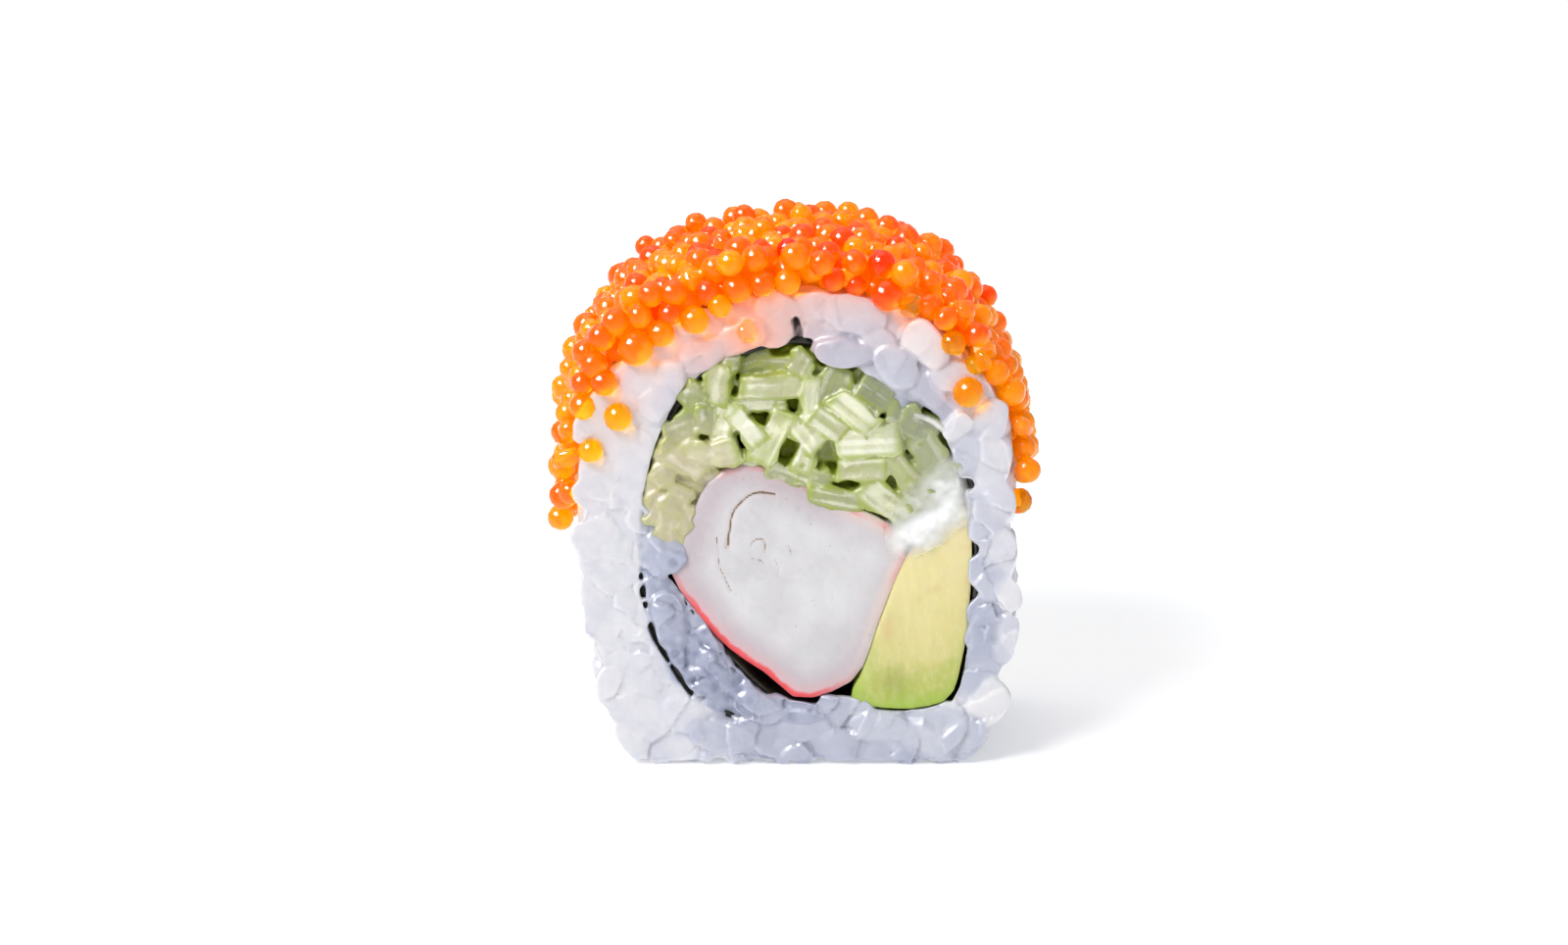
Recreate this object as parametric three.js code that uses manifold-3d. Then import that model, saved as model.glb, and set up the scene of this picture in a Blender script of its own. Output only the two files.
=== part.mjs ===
// A piece of inside-out sushi roll, cut across, with fish roe on its crown.
// Millimetres, +Z up. X runs across the cut face, Y runs along the roll, and the shown cut
// face is the one at -Y. The piece stands on the flat underside of its rice at Z = 0.
import * as THREE from "three";
import { mergeVertices } from "three/addons/utils/BufferGeometryUtils.js";
import Module from "manifold-3d";

// ---- driving dimensions, mm ----
const rollDepth = 24; // from cut face to cut face
const noriThickness = 0.5;
const gap = 0.35; // clearance between neighbouring pieces
const roeCrown = 3.9; // roe on top of the roll, nearly two eggs deep
const roeSide = { left: 2.6, right: 2.2 }; // roe on the roll's sides, one egg deep
const roeLean = 0.4; // more of it on the left shoulder than on the right one
const riceLump = 0.55; // how far grains stand out of the rice
const roeLump = 0.5; // how far eggs stand out of the roe
const stick = { width: 2.4, length: 8, spacing: 3.7, standOut: 0.45 }; // cut cucumber

// ---- smoothness ----
const ringSteps = 84; // points round the roll
const riceSections = 8; // along the roll
const roeSections = 12;
const roeSteps = 38; // points over the crown, from shoulder to shoulder
const noriSteps = 80;
const fillingSteps = 36;

// Outline of the rice seen on the cut face, clockwise from the middle of its flat foot, as [x, z].
const riceOutline = [
  [0, 0], [-13.6, 0], [-16.6, 3.6], [-18, 9], [-19.5, 18.5], [-19.6, 26.5],
  [-17.2, 34.6], [-10.8, 40], [-1, 42.6], [8.4, 41.2], [14.8, 36.6], [18.2, 30.4],
  [18.7, 25], [18.4, 20], [18.9, 14.6], [17.4, 8.6], [16.4, 3.6], [13.6, 0],
];

// The seaweed sheet, from its inner end round the filling to its outer end, which overlaps it.
const noriPath = [
  [-12, 16.9], [-9.6, 13.6], [-5.7, 9.1], [-1.8, 5.5], [3.1, 4.7], [10.4, 4.4], [13.5, 5.6],
  [14.8, 10.5], [15.3, 16], [15.3, 21], [14.7, 26], [12.1, 31.6], [8.1, 34.1], [4.4, 36.5],
  [0.2, 38.3], [-4.6, 37.4], [-9, 35.2], [-12, 30.7], [-13.4, 26.2], [-14.2, 21.5],
  [-14.1, 16.8], [-13.3, 12.5], [-11.4, 9], [-9.2, 6], [-4.6, 3.6],
];
// Rice that is tucked between the sheet's two ends, up to this height on the left.
const tuckedTop = 23.4;
const tuckedEdge = [[-13.1, 22.6], [-12.6, 20.4], [-12.35, 18.4]];

const crabOutline = [
  [-11.3, 17.5], [-9.4, 14.4], [-6.5, 10.9], [-2.6, 8.1], [-1, 6.5], [0.4, 6.2], [3.6, 7.3],
  [4.9, 8.4], [6.3, 12.2], [7.7, 16.2], [9, 19.4], [7.6, 21.7], [3.4, 23.7], [-1.2, 26],
  [-4.6, 27.2], [-7.7, 26], [-9.4, 22.8], [-10.6, 19.4],
];
const avocadoOutline = [
  [14.1, 23.6], [14.65, 20.6], [14.55, 15], [13.9, 9.6], [12.8, 6.2], [10.4, 5.4], [6.4, 5.45],
  [4.4, 5.9], [5.3, 7.8], [6.7, 12], [8.1, 16], [9.5, 19.1], [12, 21.6],
];
const mayonnaiseOutline = [
  [8.3, 22.2], [9.8, 20.4], [11.4, 22.1], [12.8, 23.4], [13.8, 24.8], [13.6, 26.6],
  [12.4, 26.8], [10.8, 25], [9.3, 23.6],
];
// Drawn past its neighbours, which are cut away from it.
const cucumberOutline = [
  [-11.4, 18.2], [-13.4, 21.6], [-14.6, 26], [-12.7, 34], [-6, 39.5], [2, 40],
  [10, 35.5], [15.4, 28.6], [14.2, 26.4], [10.8, 24.4], [8.2, 21.4], [3, 22], [-4, 25],
  [-8.4, 24], [-10.4, 20],
];

// Where the roe ends on the rice's outline, by its height above the foot.
const roeEnd = { left: 22.4, right: 24.2, wander: 1.3 };

const wasm = await Module();
wasm.setup();

const { lerp, smoothstep } = THREE.MathUtils;
const random = () => THREE.MathUtils.seededRandom();
THREE.MathUtils.seededRandom(11);

// Points spread evenly along a smooth line through the given ones.
function smoothLine(points, steps, closed) {
  const through = points.map(([x, z]) => new THREE.Vector3(x, 0, z));
  const curve = new THREE.CatmullRomCurve3(through, closed, "centripetal");
  const spread = curve.getSpacedPoints(steps);
  if (closed) spread.pop();
  return spread.map((p) => [p.x, p.z]);
}

// Unit normals of a line of points, to the left of its direction.
function normalsOf(line, closed) {
  const last = line.length - 1;
  return line.map((_, i) => {
    const before = line[i > 0 ? i - 1 : closed ? last : 0];
    const after = line[i < last ? i + 1 : closed ? 0 : last];
    const [dx, dz] = [after[0] - before[0], after[1] - before[1]];
    const length = Math.hypot(dx, dz);
    return [-dz / length, dx / length];
  });
}

// A line of points moved sideways, to the left of its direction.
function moved(line, distance, closed) {
  const normals = normalsOf(line, closed);
  return line.map(([x, z], i) => [x + normals[i][0] * distance, z + normals[i][1] * distance]);
}

// A closed outline made larger all round.
function grown(outline, distance) {
  const shape = new THREE.Shape(outline.map(([x, z]) => new THREE.Vector2(x, z)));
  const outward = THREE.ShapeUtils.area(shape.getPoints()) > 0 ? -1 : 1;
  return moved(outline, outward * distance, true);
}

// A straight solid along Y with the given cut face.
function prism(outline, depth, bevel = 0) {
  const shape = new THREE.Shape(outline.map(([x, z]) => new THREE.Vector2(x, z)));
  const geometry = new THREE.ExtrudeGeometry(shape, {
    depth: depth - 2 * bevel,
    bevelEnabled: bevel > 0,
    bevelThickness: bevel,
    bevelSize: bevel,
    bevelOffset: -bevel,
    bevelSegments: 2,
  });
  geometry.translate(0, 0, bevel - depth / 2);
  return geometry.rotateX(Math.PI / 2);
}

function meshOf(positions, faces) {
  const geometry = new THREE.BufferGeometry();
  geometry.setAttribute("position", new THREE.Float32BufferAttribute(positions, 3));
  geometry.setIndex(faces);
  return geometry;
}

// The side walls between loops of equally many points.
function wallsBetween(loops) {
  const around = loops[0].length;
  const faces = [];
  for (let k = 0; k < loops.length - 1; k++) {
    for (let i = 0; i < around; i++) {
      const [a, b] = [k * around + i, k * around + ((i + 1) % around)];
      faces.push(a, b, b + around, a, b + around, a + around);
    }
  }
  return faces;
}

function solidOf(geometry) {
  const bare = geometry.clone();
  for (const name of ["normal", "uv"]) bare.deleteAttribute(name);
  const merged = mergeVertices(bare, 1e-4);
  const solid = new wasm.Manifold(
    new wasm.Mesh({
      numProp: 3,
      vertProperties: merged.attributes.position.array,
      triVerts: new Uint32Array(merged.index.array),
    }),
  );
  if (solid.volume() > 0) return solid;
  merged.setIndex([...merged.index.array].reverse());
  return solidOf(merged);
}

function geometryOf(solid) {
  const mesh = solid.getMesh();
  const geometry = meshOf(mesh.vertProperties, [...mesh.triVerts]);
  geometry.computeVertexNormals();
  return geometry;
}

// ---- the rice's outside, which the roe sits on ----
const riceRing = smoothLine(riceOutline, ringSteps, true);
const riceOut = normalsOf(riceRing, true);
const ringStep = Math.hypot(riceRing[1][0] - riceRing[0][0], riceRing[1][1] - riceRing[0][1]);

// A point at a distance outside the ring; the place along it may lie between two points.
function onRing(place, out) {
  const i = Math.floor(place) % ringSteps;
  const next = (i + 1) % ringSteps;
  const share = place - Math.floor(place);
  const mix = (list, axis) => lerp(list[i][axis], list[next][axis], share);
  return [0, 1].map((axis) => mix(riceRing, axis) + out * mix(riceOut, axis));
}

// Soft lumps about as long as a grain of rice, from -1 to 1.
function lumps(along, depth, seed) {
  const wave = (a, b, shift) => Math.sin(a * along + b * depth + shift * seed);
  return (wave(1.1, 0.7, 1.3) + wave(-0.8, 1.2, 2.9) + wave(1.9, -1.6, 4.1)) / 3;
}

function riceBody() {
  const half = rollDepth / 2;
  const rim = 1; // rounding of the cut face's edge
  const middle = [0, 21];
  const faceShares = [0.5, 0.68, 0.82, 0.95];
  // A loop on a cut face, at a share of the way from its middle to its rim.
  const faceLoop = (share, side) =>
    riceRing.map(([x, z], i) => {
      const rough = 0.3 * lumps(i * ringStep, share * 24, side + 3) - 0.3;
      const rounding = share > 0.9 ? 0.15 : 0;
      const y = side * (half + rough * smoothstep(share, 0.5, 0.68) - rounding);
      return [lerp(middle[0], x, share), y, lerp(middle[1], z, share)];
    });
  const sideLoop = (y) =>
    riceRing.map(([, z], i) => {
      const rise = riceLump * lumps(i * ringStep, y, 1) * smoothstep(z, 0.4, 4);
      const [x, height] = onRing(i, rise);
      return [x, y, Math.max(0, height)];
    });
  const loops = faceShares.map((share) => faceLoop(share, -1));
  for (let k = 0; k <= riceSections; k++) {
    loops.push(sideLoop(lerp(rim - half, half - rim, k / riceSections)));
  }
  loops.push(...[...faceShares].reverse().map((share) => faceLoop(share, 1)));
  const faces = wallsBetween(loops);
  const first = loops.length * ringSteps;
  for (let i = 0; i < ringSteps; i++) {
    const next = (i + 1) % ringSteps;
    const end = (loops.length - 1) * ringSteps;
    faces.push(first, next, i, first + 1, end + i, end + next);
  }
  const [x, z] = middle;
  return solidOf(meshOf([...loops.flat(2), x, -half, z, x, half, z], faces));
}

// ---- the seaweed sheet and the room inside it ----
const noriLine = smoothLine(noriPath, noriSteps, false);

// The sheet's cut face, thickened by extra on both sides and past both ends.
function sheetOutline(extra) {
  const half = noriThickness / 2 + extra;
  const longer = (end, before) => {
    const [dx, dz] = [end[0] - before[0], end[1] - before[1]];
    const length = Math.hypot(dx, dz);
    return [end[0] + (dx / length) * extra, end[1] + (dz / length) * extra];
  };
  const line = [...noriLine];
  line[0] = longer(line[0], line[1]);
  line[noriSteps] = longer(line[noriSteps], line[noriSteps - 1]);
  return [...moved(line, half, false), ...moved(line, -half, false).reverse()];
}

// Everything inside the sheet, closed on the left by the tucked rice, with a margin all round.
function fillingRoom(margin) {
  const closes = ([x, z], i) => i > noriSteps / 2 && x < 0 && z < tuckedTop;
  const turn = noriLine.findIndex(closes);
  return grown([...noriLine.slice(0, turn), ...tuckedEdge], -margin);
}

function rice() {
  const deep = rollDepth + 4;
  return riceBody()
    .subtract(solidOf(prism(fillingRoom(0), deep)))
    .subtract(solidOf(prism(sheetOutline(gap / 2), deep)));
}

// ---- the filling ----
const crabFace = smoothLine(crabOutline, fillingSteps, true);
const avocadoFace = smoothLine(avocadoOutline, fillingSteps, true);
const mayonnaiseFace = smoothLine(mayonnaiseOutline, fillingSteps / 2, true);

// Short sticks crossing each other at both cut faces, over a middle that fills the rest.
function cucumber() {
  const outline = smoothLine(cucumberOutline, fillingSteps, true);
  const roomFor = (depth) => {
    let room = solidOf(prism(outline, depth));
    room = room.intersect(solidOf(prism(fillingRoom(noriThickness / 2 + gap), depth + 1)));
    for (const face of [crabFace, avocadoFace, mayonnaiseFace]) {
      room = room.subtract(solidOf(prism(grown(face, gap), depth + 1)));
    }
    return room;
  };
  const room = roomFor(rollDepth + 2 * stick.standOut);
  let bundle = roomFor(rollDepth - 2);
  const reach = (end) => [0, 1].map((i) => end(...outline.map((p) => p[i])));
  const [low, high] = [reach(Math.min), reach(Math.max)];
  for (const side of [-1, 1]) {
    for (let x = low[0]; x < high[0]; x += stick.spacing) {
      for (let z = low[1]; z < high[1]; z += stick.spacing) {
        const bar = new THREE.BoxGeometry(stick.width, stick.length, stick.width);
        bar.rotateX(lerp(0.5, 1.5, random()));
        bar.rotateY(2 * Math.PI * random());
        bar.computeBoundingBox();
        const standOut = stick.standOut * lerp(-1, 1, random());
        const depth = rollDepth / 2 + standOut - bar.boundingBox.max.y;
        bar.translate(x + random(), side * depth, z + random());
        bundle = bundle.add(solidOf(bar).intersect(room));
      }
    }
  }
  const [kept] = bundle.decompose().sort((a, b) => b.volume() - a.volume());
  return kept;
}

// ---- roe: a cap over the crown, thinner and ragged down the sides ----
function roe() {
  const half = rollDepth / 2;
  const isLeft = (x) => x < 0;
  const endPlace = (left) =>
    riceRing.findIndex(([x, z]) =>
      left ? isLeft(x) && z > roeEnd.left : !isLeft(x) && z < roeEnd.right && z > 10,
    );
  const ends = { left: endPlace(true), right: endPlace(false) };
  const loops = [];
  for (let k = 0; k <= roeSections; k++) {
    const y = lerp(-half, half, k / roeSections);
    const rimless = smoothstep(half - Math.abs(y), 0, 2); // rounded at both cut faces
    const from = ends.left + (roeEnd.wander * lumps(0, y, 2)) / ringStep;
    const to = ends.right + (roeEnd.wander * lumps(0, y, 5)) / ringStep;
    const under = [];
    const over = [];
    for (let n = 0; n <= roeSteps; n++) {
      const share = n / roeSteps;
      const place = lerp(from, to, share);
      const crown = Math.sin(Math.PI * share);
      const side = lerp(roeSide.left, roeSide.right, share);
      const lean = roeLean * Math.sin(2 * Math.PI * share);
      const deep = lerp(side, roeCrown, smoothstep(crown, 0.4, 0.95)) + lean;
      const egg = roeLump * lumps(place * ringStep * 1.25, y * 1.3, 7);
      const thick = (deep + egg) * lerp(0.66, 1, rimless) * lerp(0.7, 1, smoothstep(crown, 0, 0.1));
      const [ux, uz] = onRing(place, riceLump + gap / 2);
      const [ox, oz] = onRing(place, Math.max(thick, riceLump + gap + 0.7));
      under.push([ux, y, uz]);
      over.unshift([ox, y, oz]);
    }
    loops.push([...under, ...over]);
  }
  const faces = wallsBetween(loops);
  const around = loops[0].length;
  const last = (loops.length - 1) * around;
  for (let i = 0; i < roeSteps; i++) {
    const [a, b, c, d] = [i, i + 1, around - 2 - i, around - 1 - i];
    faces.push(a, d, c, a, c, b);
    faces.push(last + a, last + c, last + d, last + a, last + b, last + c);
  }
  return solidOf(meshOf(loops.flat(2), faces));
}

// ---- the pieces ----
const group = new THREE.Group();

function addPiece(name, geometry, color, roughness) {
  const material = new THREE.MeshStandardMaterial({ color, roughness, metalness: 0 });
  const mesh = new THREE.Mesh(geometry, material);
  mesh.name = name;
  group.add(mesh);
}

addPiece("rice", geometryOf(rice()), "#e6e6ec", 0.45);
addPiece("nori", prism(sheetOutline(0), rollDepth - 0.6), "#1c1a16", 0.6);
addPiece("crab_stick", prism(crabFace, rollDepth - 0.2, 0.35), "#ece4e6", 0.5);
addPiece("avocado", prism(avocadoFace, rollDepth - 0.5, 0.3), "#dfd690", 0.5);
addPiece("mayonnaise", prism(mayonnaiseFace, rollDepth - 0.8, 0.5), "#f2f2f2", 0.35);
addPiece("cucumber", geometryOf(cucumber()), "#c3d391", 0.35);
addPiece("roe", geometryOf(roe()), "#ff8b1e", 0.12);

// The whole piece is centred over the origin.
const box = new THREE.Box3().setFromObject(group);
const centre = box.getCenter(new THREE.Vector3());
group.position.set(-centre.x, -centre.y, -box.min.z);

export default group;
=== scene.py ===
import itertools
import math
import random

import bmesh
import bpy
import numpy as np
from mathutils import Matrix, Vector
from mathutils.bvhtree import BVHTree
from mathutils.kdtree import KDTree


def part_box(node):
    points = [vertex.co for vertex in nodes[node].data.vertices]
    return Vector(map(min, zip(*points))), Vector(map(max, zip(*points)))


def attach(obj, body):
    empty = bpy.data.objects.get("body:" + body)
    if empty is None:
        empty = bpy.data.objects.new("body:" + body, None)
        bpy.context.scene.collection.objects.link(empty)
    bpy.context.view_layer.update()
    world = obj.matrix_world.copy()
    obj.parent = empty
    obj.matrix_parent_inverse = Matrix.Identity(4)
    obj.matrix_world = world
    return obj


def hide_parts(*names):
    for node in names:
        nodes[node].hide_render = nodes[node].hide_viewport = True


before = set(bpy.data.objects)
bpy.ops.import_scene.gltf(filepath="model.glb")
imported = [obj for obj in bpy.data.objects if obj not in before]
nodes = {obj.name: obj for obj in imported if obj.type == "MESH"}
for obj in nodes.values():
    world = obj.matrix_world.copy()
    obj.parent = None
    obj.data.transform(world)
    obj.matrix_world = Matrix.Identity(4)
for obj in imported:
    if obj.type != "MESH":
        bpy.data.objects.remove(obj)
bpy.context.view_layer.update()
mm = 0.001
yAxis = Vector((0, 1, 0))
riceLow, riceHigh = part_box("rice")
halfDepth = riceHigh.y
rollMiddle = Vector((0.5 * mm, 0, 20.5 * mm))


class Wire:  # a socket that sums can be written with
    def __init__(self, paint, socket):
        self.paint, self.socket = paint, socket

    def math(self, operation, *values):
        return self.paint.node("ShaderNodeMath", {"operation": operation}, values)

    def __add__(self, other):
        return self.math("ADD", self, other)

    def __sub__(self, other):
        return self.math("SUBTRACT", self, other)

    def __rsub__(self, other):
        return self.math("SUBTRACT", other, self)

    def __mul__(self, other):
        return self.math("MULTIPLY", self, other)

    __radd__ = __add__
    __rmul__ = __mul__


class Paint:  # a material under construction
    def __init__(self, name):
        self.material = bpy.data.materials.new(name)
        self.material.use_nodes = True
        self.tree = self.material.node_tree
        self.tree.nodes.clear()
        self.output = self.tree.nodes.new("ShaderNodeOutputMaterial")

    def node(self, kind, settings=None, values=(), out=0):
        made = self.tree.nodes.new(kind)
        for key, value in (settings or {}).items():
            if key == "stops":
                ramp = made.color_ramp
                while len(ramp.elements) < len(value):
                    ramp.elements.new(0.5)
                for stop, (place, color) in zip(ramp.elements, value):
                    stop.position = place
                    stop.color = (*color, 1)
            else:
                setattr(made, key, value)
        pairs = values.items() if isinstance(values, dict) else enumerate(values)
        for key, value in pairs:
            if isinstance(value, Wire):
                self.tree.links.new(value.socket, made.inputs[key])
            elif value is not None:
                made.inputs[key].default_value = value
        return Wire(self, made.outputs[out])

    def at(self):  # where a point is on the object, in metres
        return self.node("ShaderNodeTexCoord", out="Object")

    def held(self, name):  # a number stored on the mesh
        return self.node("ShaderNodeAttribute", {"attribute_name": name}, out="Fac")

    def noise(self, size, detail=2, rough=0.5, stretch=None):
        place = self.at()
        if stretch:
            place = self.node("ShaderNodeMapping", values={"Vector": place, "Scale": stretch})
        values = {"Vector": place, "Scale": 1 / size, "Detail": detail, "Roughness": rough}
        return self.node("ShaderNodeTexNoise", values=values)

    def cells(self, size):  # distances from scattered points about size apart
        values = {"Vector": self.at(), "Scale": 1 / size}
        return self.node("ShaderNodeTexVoronoi", values=values)

    def span(self, value, low, high, toLow=0.0, toHigh=1.0):
        return self.node("ShaderNodeMapRange", {"interpolation_type": "SMOOTHSTEP"},
                         [value, low, high, toLow, toHigh])

    def ramp(self, value, *stops):
        return self.node("ShaderNodeValToRGB", {"stops": stops}, [value])

    def mix(self, factor, first, second):
        solid = [c if isinstance(c, Wire) else (*c, 1) for c in (first, second)]
        values = {0: factor, 6: solid[0], 7: solid[1]}
        return self.node("ShaderNodeMix", {"data_type": "RGBA"}, values, out=2)

    def layers(self, color, *tops):  # each colour over the ones before it, by its share
        for share, top in tops:
            color = self.mix(share, color, top)
        return color

    def bump(self, height, strength, distance):
        values = {"Strength": strength, "Distance": distance, "Height": height}
        return self.node("ShaderNodeBump", values=values)

    def surface(self, **values):
        named = {key.replace("_", " "): value for key, value in values.items()}
        return self.node("ShaderNodeBsdfPrincipled", values=named)

    def moist(self, color, rough, bump, spread, depth, coat, coatRough, **more):  # food lit from inside
        return self.done(self.surface(
            Base_Color=color, Roughness=rough, Normal=bump, Subsurface_Weight=1.0,
            Subsurface_Radius=spread, Subsurface_Scale=depth, Coat_Weight=coat,
            Coat_Roughness=coatRough, **more,
        ))

    def done(self, shader):
        self.tree.links.new(shader.socket, self.output.inputs["Surface"])
        return self.material


def softNoise(points, size, seed):  # smooth lumps about size across, from -1 to 1
    place = np.asarray(points) / size + seed * 7.31
    cell = np.floor(place).astype(np.int64)
    share = place - cell
    share = share * share * (3 - 2 * share)
    total = np.zeros(len(place))
    for corner in itertools.product((0, 1), repeat=3):
        a, b, c = (cell + corner).T
        mixed = (a * 73856093) ^ (b * 19349663) ^ (c * 83492791) ^ (seed * 2654435761)
        mixed = (mixed ^ (mixed >> 13)) * 1274126177 & 0xFFFFFFFF
        value = ((mixed >> 8) & 0xFFFF) / 32767.5 - 1
        total += value * np.prod(np.where(corner, share, 1 - share), axis=1)
    return total


def readVectors(mesh, name):
    values = np.empty(len(mesh.vertices) * 3, np.float32)
    mesh.vertices.foreach_get(name, values)
    return values.reshape(-1, 3).astype(float)


def readPoints(mesh):
    return readVectors(mesh, "co")


def readNormals(mesh):
    return readVectors(mesh, "normal")


def writePoints(mesh, points):
    mesh.vertices.foreach_set("co", np.asarray(points, np.float32).ravel())
    mesh.update()


def store(mesh, **layers):  # numbers for each vertex, for the material to read
    for name, values in layers.items():
        layer = mesh.attributes.get(name) or mesh.attributes.new(name, "FLOAT", "POINT")
        layer.data.foreach_set("value", np.asarray(values, np.float32))


def step(values, low, high):  # smooth step from 0 at low to 1 at high
    share = np.clip((np.asarray(values, float) - low) / (high - low), 0, 1)
    return share * share * (3 - 2 * share)


def faceShare(points, deep, shallow):  # 1 at a cut face, 0 at this many mm behind it
    return step(np.abs(points[:, 1]), halfDepth - deep * mm, halfDepth - shallow * mm)


def boxShares(node, points):  # how far across and up a node's box they are, 0 to 1
    low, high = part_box(node)
    return (points[:, 0] - low.x) / (high.x - low.x), (points[:, 2] - low.z) / (high.z - low.z)


def objectOf(name, mesh):
    made = bpy.data.objects.new(name, mesh)
    bpy.context.scene.collection.objects.link(made)
    return made


def meshOf(name, bm):
    mesh = bpy.data.meshes.new(name)
    bm.to_mesh(mesh)
    bm.free()
    return mesh


def cadCopy(node):
    bm = bmesh.new()
    bm.from_mesh(nodes[node].data)
    bmesh.ops.remove_doubles(bm, verts=bm.verts, dist=0.002 * mm)
    return bm


def treeOf(bm):
    return BVHTree.FromBMesh(bm)


def applyModifiers(piece):
    graph = bpy.context.evaluated_depsgraph_get()
    mesh = bpy.data.meshes.new_from_object(piece.evaluated_get(graph))
    old = piece.data
    piece.modifiers.clear()
    piece.data = mesh
    bpy.data.meshes.remove(old)


def remesh(piece, voxel, smooth=0):
    modifier = piece.modifiers.new("voxels", "REMESH")
    modifier.mode = "VOXEL"
    modifier.voxel_size = voxel
    if smooth:
        relax = piece.modifiers.new("smooth", "SMOOTH")
        relax.iterations = smooth
        relax.factor = 0.5
    applyModifiers(piece)


def thin(piece, share, isHidden=None):  # keeps a share of the faces, and all that aren't hidden
    modifier = piece.modifiers.new("thin", "DECIMATE")
    modifier.ratio = share
    if isHidden is not None:
        group = piece.vertex_groups.new(name="hidden")
        group.add(np.flatnonzero(isHidden).tolist(), 1, "REPLACE")
        modifier.vertex_group = "hidden"
    applyModifiers(piece)
    piece.vertex_groups.clear()


def triangles(mesh):
    return sum(len(p.vertices) - 2 for p in mesh.polygons)


def finishPiece(piece, material, slot, *replaced):
    piece.data.materials.clear()
    piece.data.materials.append(material)
    piece.data.shade_smooth()
    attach(piece, "root")
    if replaced:
        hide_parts(*replaced)
    print(f"{piece.name}: {triangles(piece.data)} triangles")
    return piece


def scattered(name, shape, placements):  # many copies of a small shape as one mesh
    base = np.array([v.co for v in shape.verts])
    faces = np.array([[v.index for v in f.verts] for f in shape.faces])
    stack = np.array([np.array(m) for m in placements])
    points = np.einsum("nij,vj->nvi", stack[:, :3, :3], base) + stack[:, None, :3, 3]
    corners = faces[None] + (np.arange(len(stack)) * len(base))[:, None, None]
    mesh = bpy.data.meshes.new(name)
    count, sides = len(stack) * len(faces), faces.shape[1]
    mesh.vertices.add(len(stack) * len(base))
    mesh.vertices.foreach_set("co", points.astype(np.float32).ravel())
    mesh.loops.add(count * sides)
    mesh.loops.foreach_set("vertex_index", corners.astype(np.int32).ravel())
    mesh.polygons.add(count)
    mesh.polygons.foreach_set("loop_start", np.arange(0, count * sides, sides, dtype=np.int32))
    mesh.update(calc_edges=True)
    return mesh


def placed(centre, along, up, sizes):  # turns and stretches a unit shape
    across = up.cross(along).normalized()
    up = along.cross(across).normalized()
    turn = Matrix((along.normalized(), across, up)).transposed()
    return Matrix.Translation(centre) @ turn.to_4x4() @ Matrix.Diagonal((*sizes, 1))


def nearShapes(places, shift, points, count):  # the shapes near each point, and where it is in each
    finder = KDTree(len(places) * 3)
    for i, place in enumerate(places):
        for k in range(3):
            finder.insert(place.translation + place.col[0].xyz * shift * (k - 1), i * 3 + k)
    finder.balance()
    near = np.array([[found[1] // 3 for found in finder.find_n(point, count)] for point in points])
    back = np.array([np.array(place.inverted()) for place in places])[near]
    within = np.einsum("nkij,nj->nki", back[:, :, :3, :3], points) + back[:, :, :3, 3]
    return near, within


studio = {
    "lens": 128, "distance": 0.5, "elevation": 13.5,
    "aim": (-0.82 * mm, 0, 23.8 * mm),
    "sky": (0.93, 0.96, 1.0, 1), "skyPower": 0.42,
    "floorReach": 3, "floorGlow": 0.3,
    "lamps": [  # name, place, size, power
        ("key", (-0.55, -0.75, 0.8), 0.42, 8),
        ("fill", (0.9, -0.5, 0.45), 0.5, 0.8),
        ("top", (-0.2, 0.3, 1.1), 0.9, 4.6),
        ("glint", (-0.64, -0.4, 0.78), 0.5, 55),
    ],
}


def makeStudio():
    scene = bpy.context.scene
    scene.view_settings.view_transform = "Standard"
    lift = math.radians(studio["elevation"])
    back = Vector((0, -math.cos(lift), math.sin(lift)))
    camera = bpy.data.objects.new("camera", bpy.data.cameras.new("camera"))
    camera.data.lens = studio["lens"]
    camera.location = Vector(studio["aim"]) + back * studio["distance"]
    camera.rotation_euler = (-back).to_track_quat("-Z", "Y").to_euler()
    scene.collection.objects.link(camera)
    scene.camera = camera

    world = bpy.data.worlds.new("studio")
    world.use_nodes = True
    sky = world.node_tree.nodes["Background"]
    sky.inputs["Color"].default_value = studio["sky"]
    sky.inputs["Strength"].default_value = studio["skyPower"]
    scene.world = world

    bm = bmesh.new()
    bmesh.ops.create_grid(bm, x_segments=1, y_segments=1, size=studio["floorReach"])
    floor = objectOf("floor", meshOf("floor", bm))
    paint = Paint("paleFloor")
    mottle = paint.noise(0.4)
    color = paint.mix(mottle, (0.9, 0.9, 0.9), (0.93, 0.93, 0.93))
    shader = paint.surface(Base_Color=color, Roughness=0.6, Specular_IOR_Level=0.0,
                           Emission_Color=color, Emission_Strength=studio["floorGlow"])
    floor.data.materials.append(paint.done(shader))

    for name, place, size, power in studio["lamps"]:
        lamp = bpy.data.objects.new(name, bpy.data.lights.new(name, "AREA"))
        lamp.data.size = size
        lamp.data.energy = power
        lamp.location = place
        aim = rollMiddle - lamp.location
        lamp.rotation_euler = aim.to_track_quat("-Z", "Y").to_euler()
        lamp.visible_diffuse = name != "glint"  # this one only shows as a highlight on what is wet
        lamp.visible_transmission = name != "glint"
        scene.collection.objects.link(lamp)
    print("studio is set")


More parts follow.
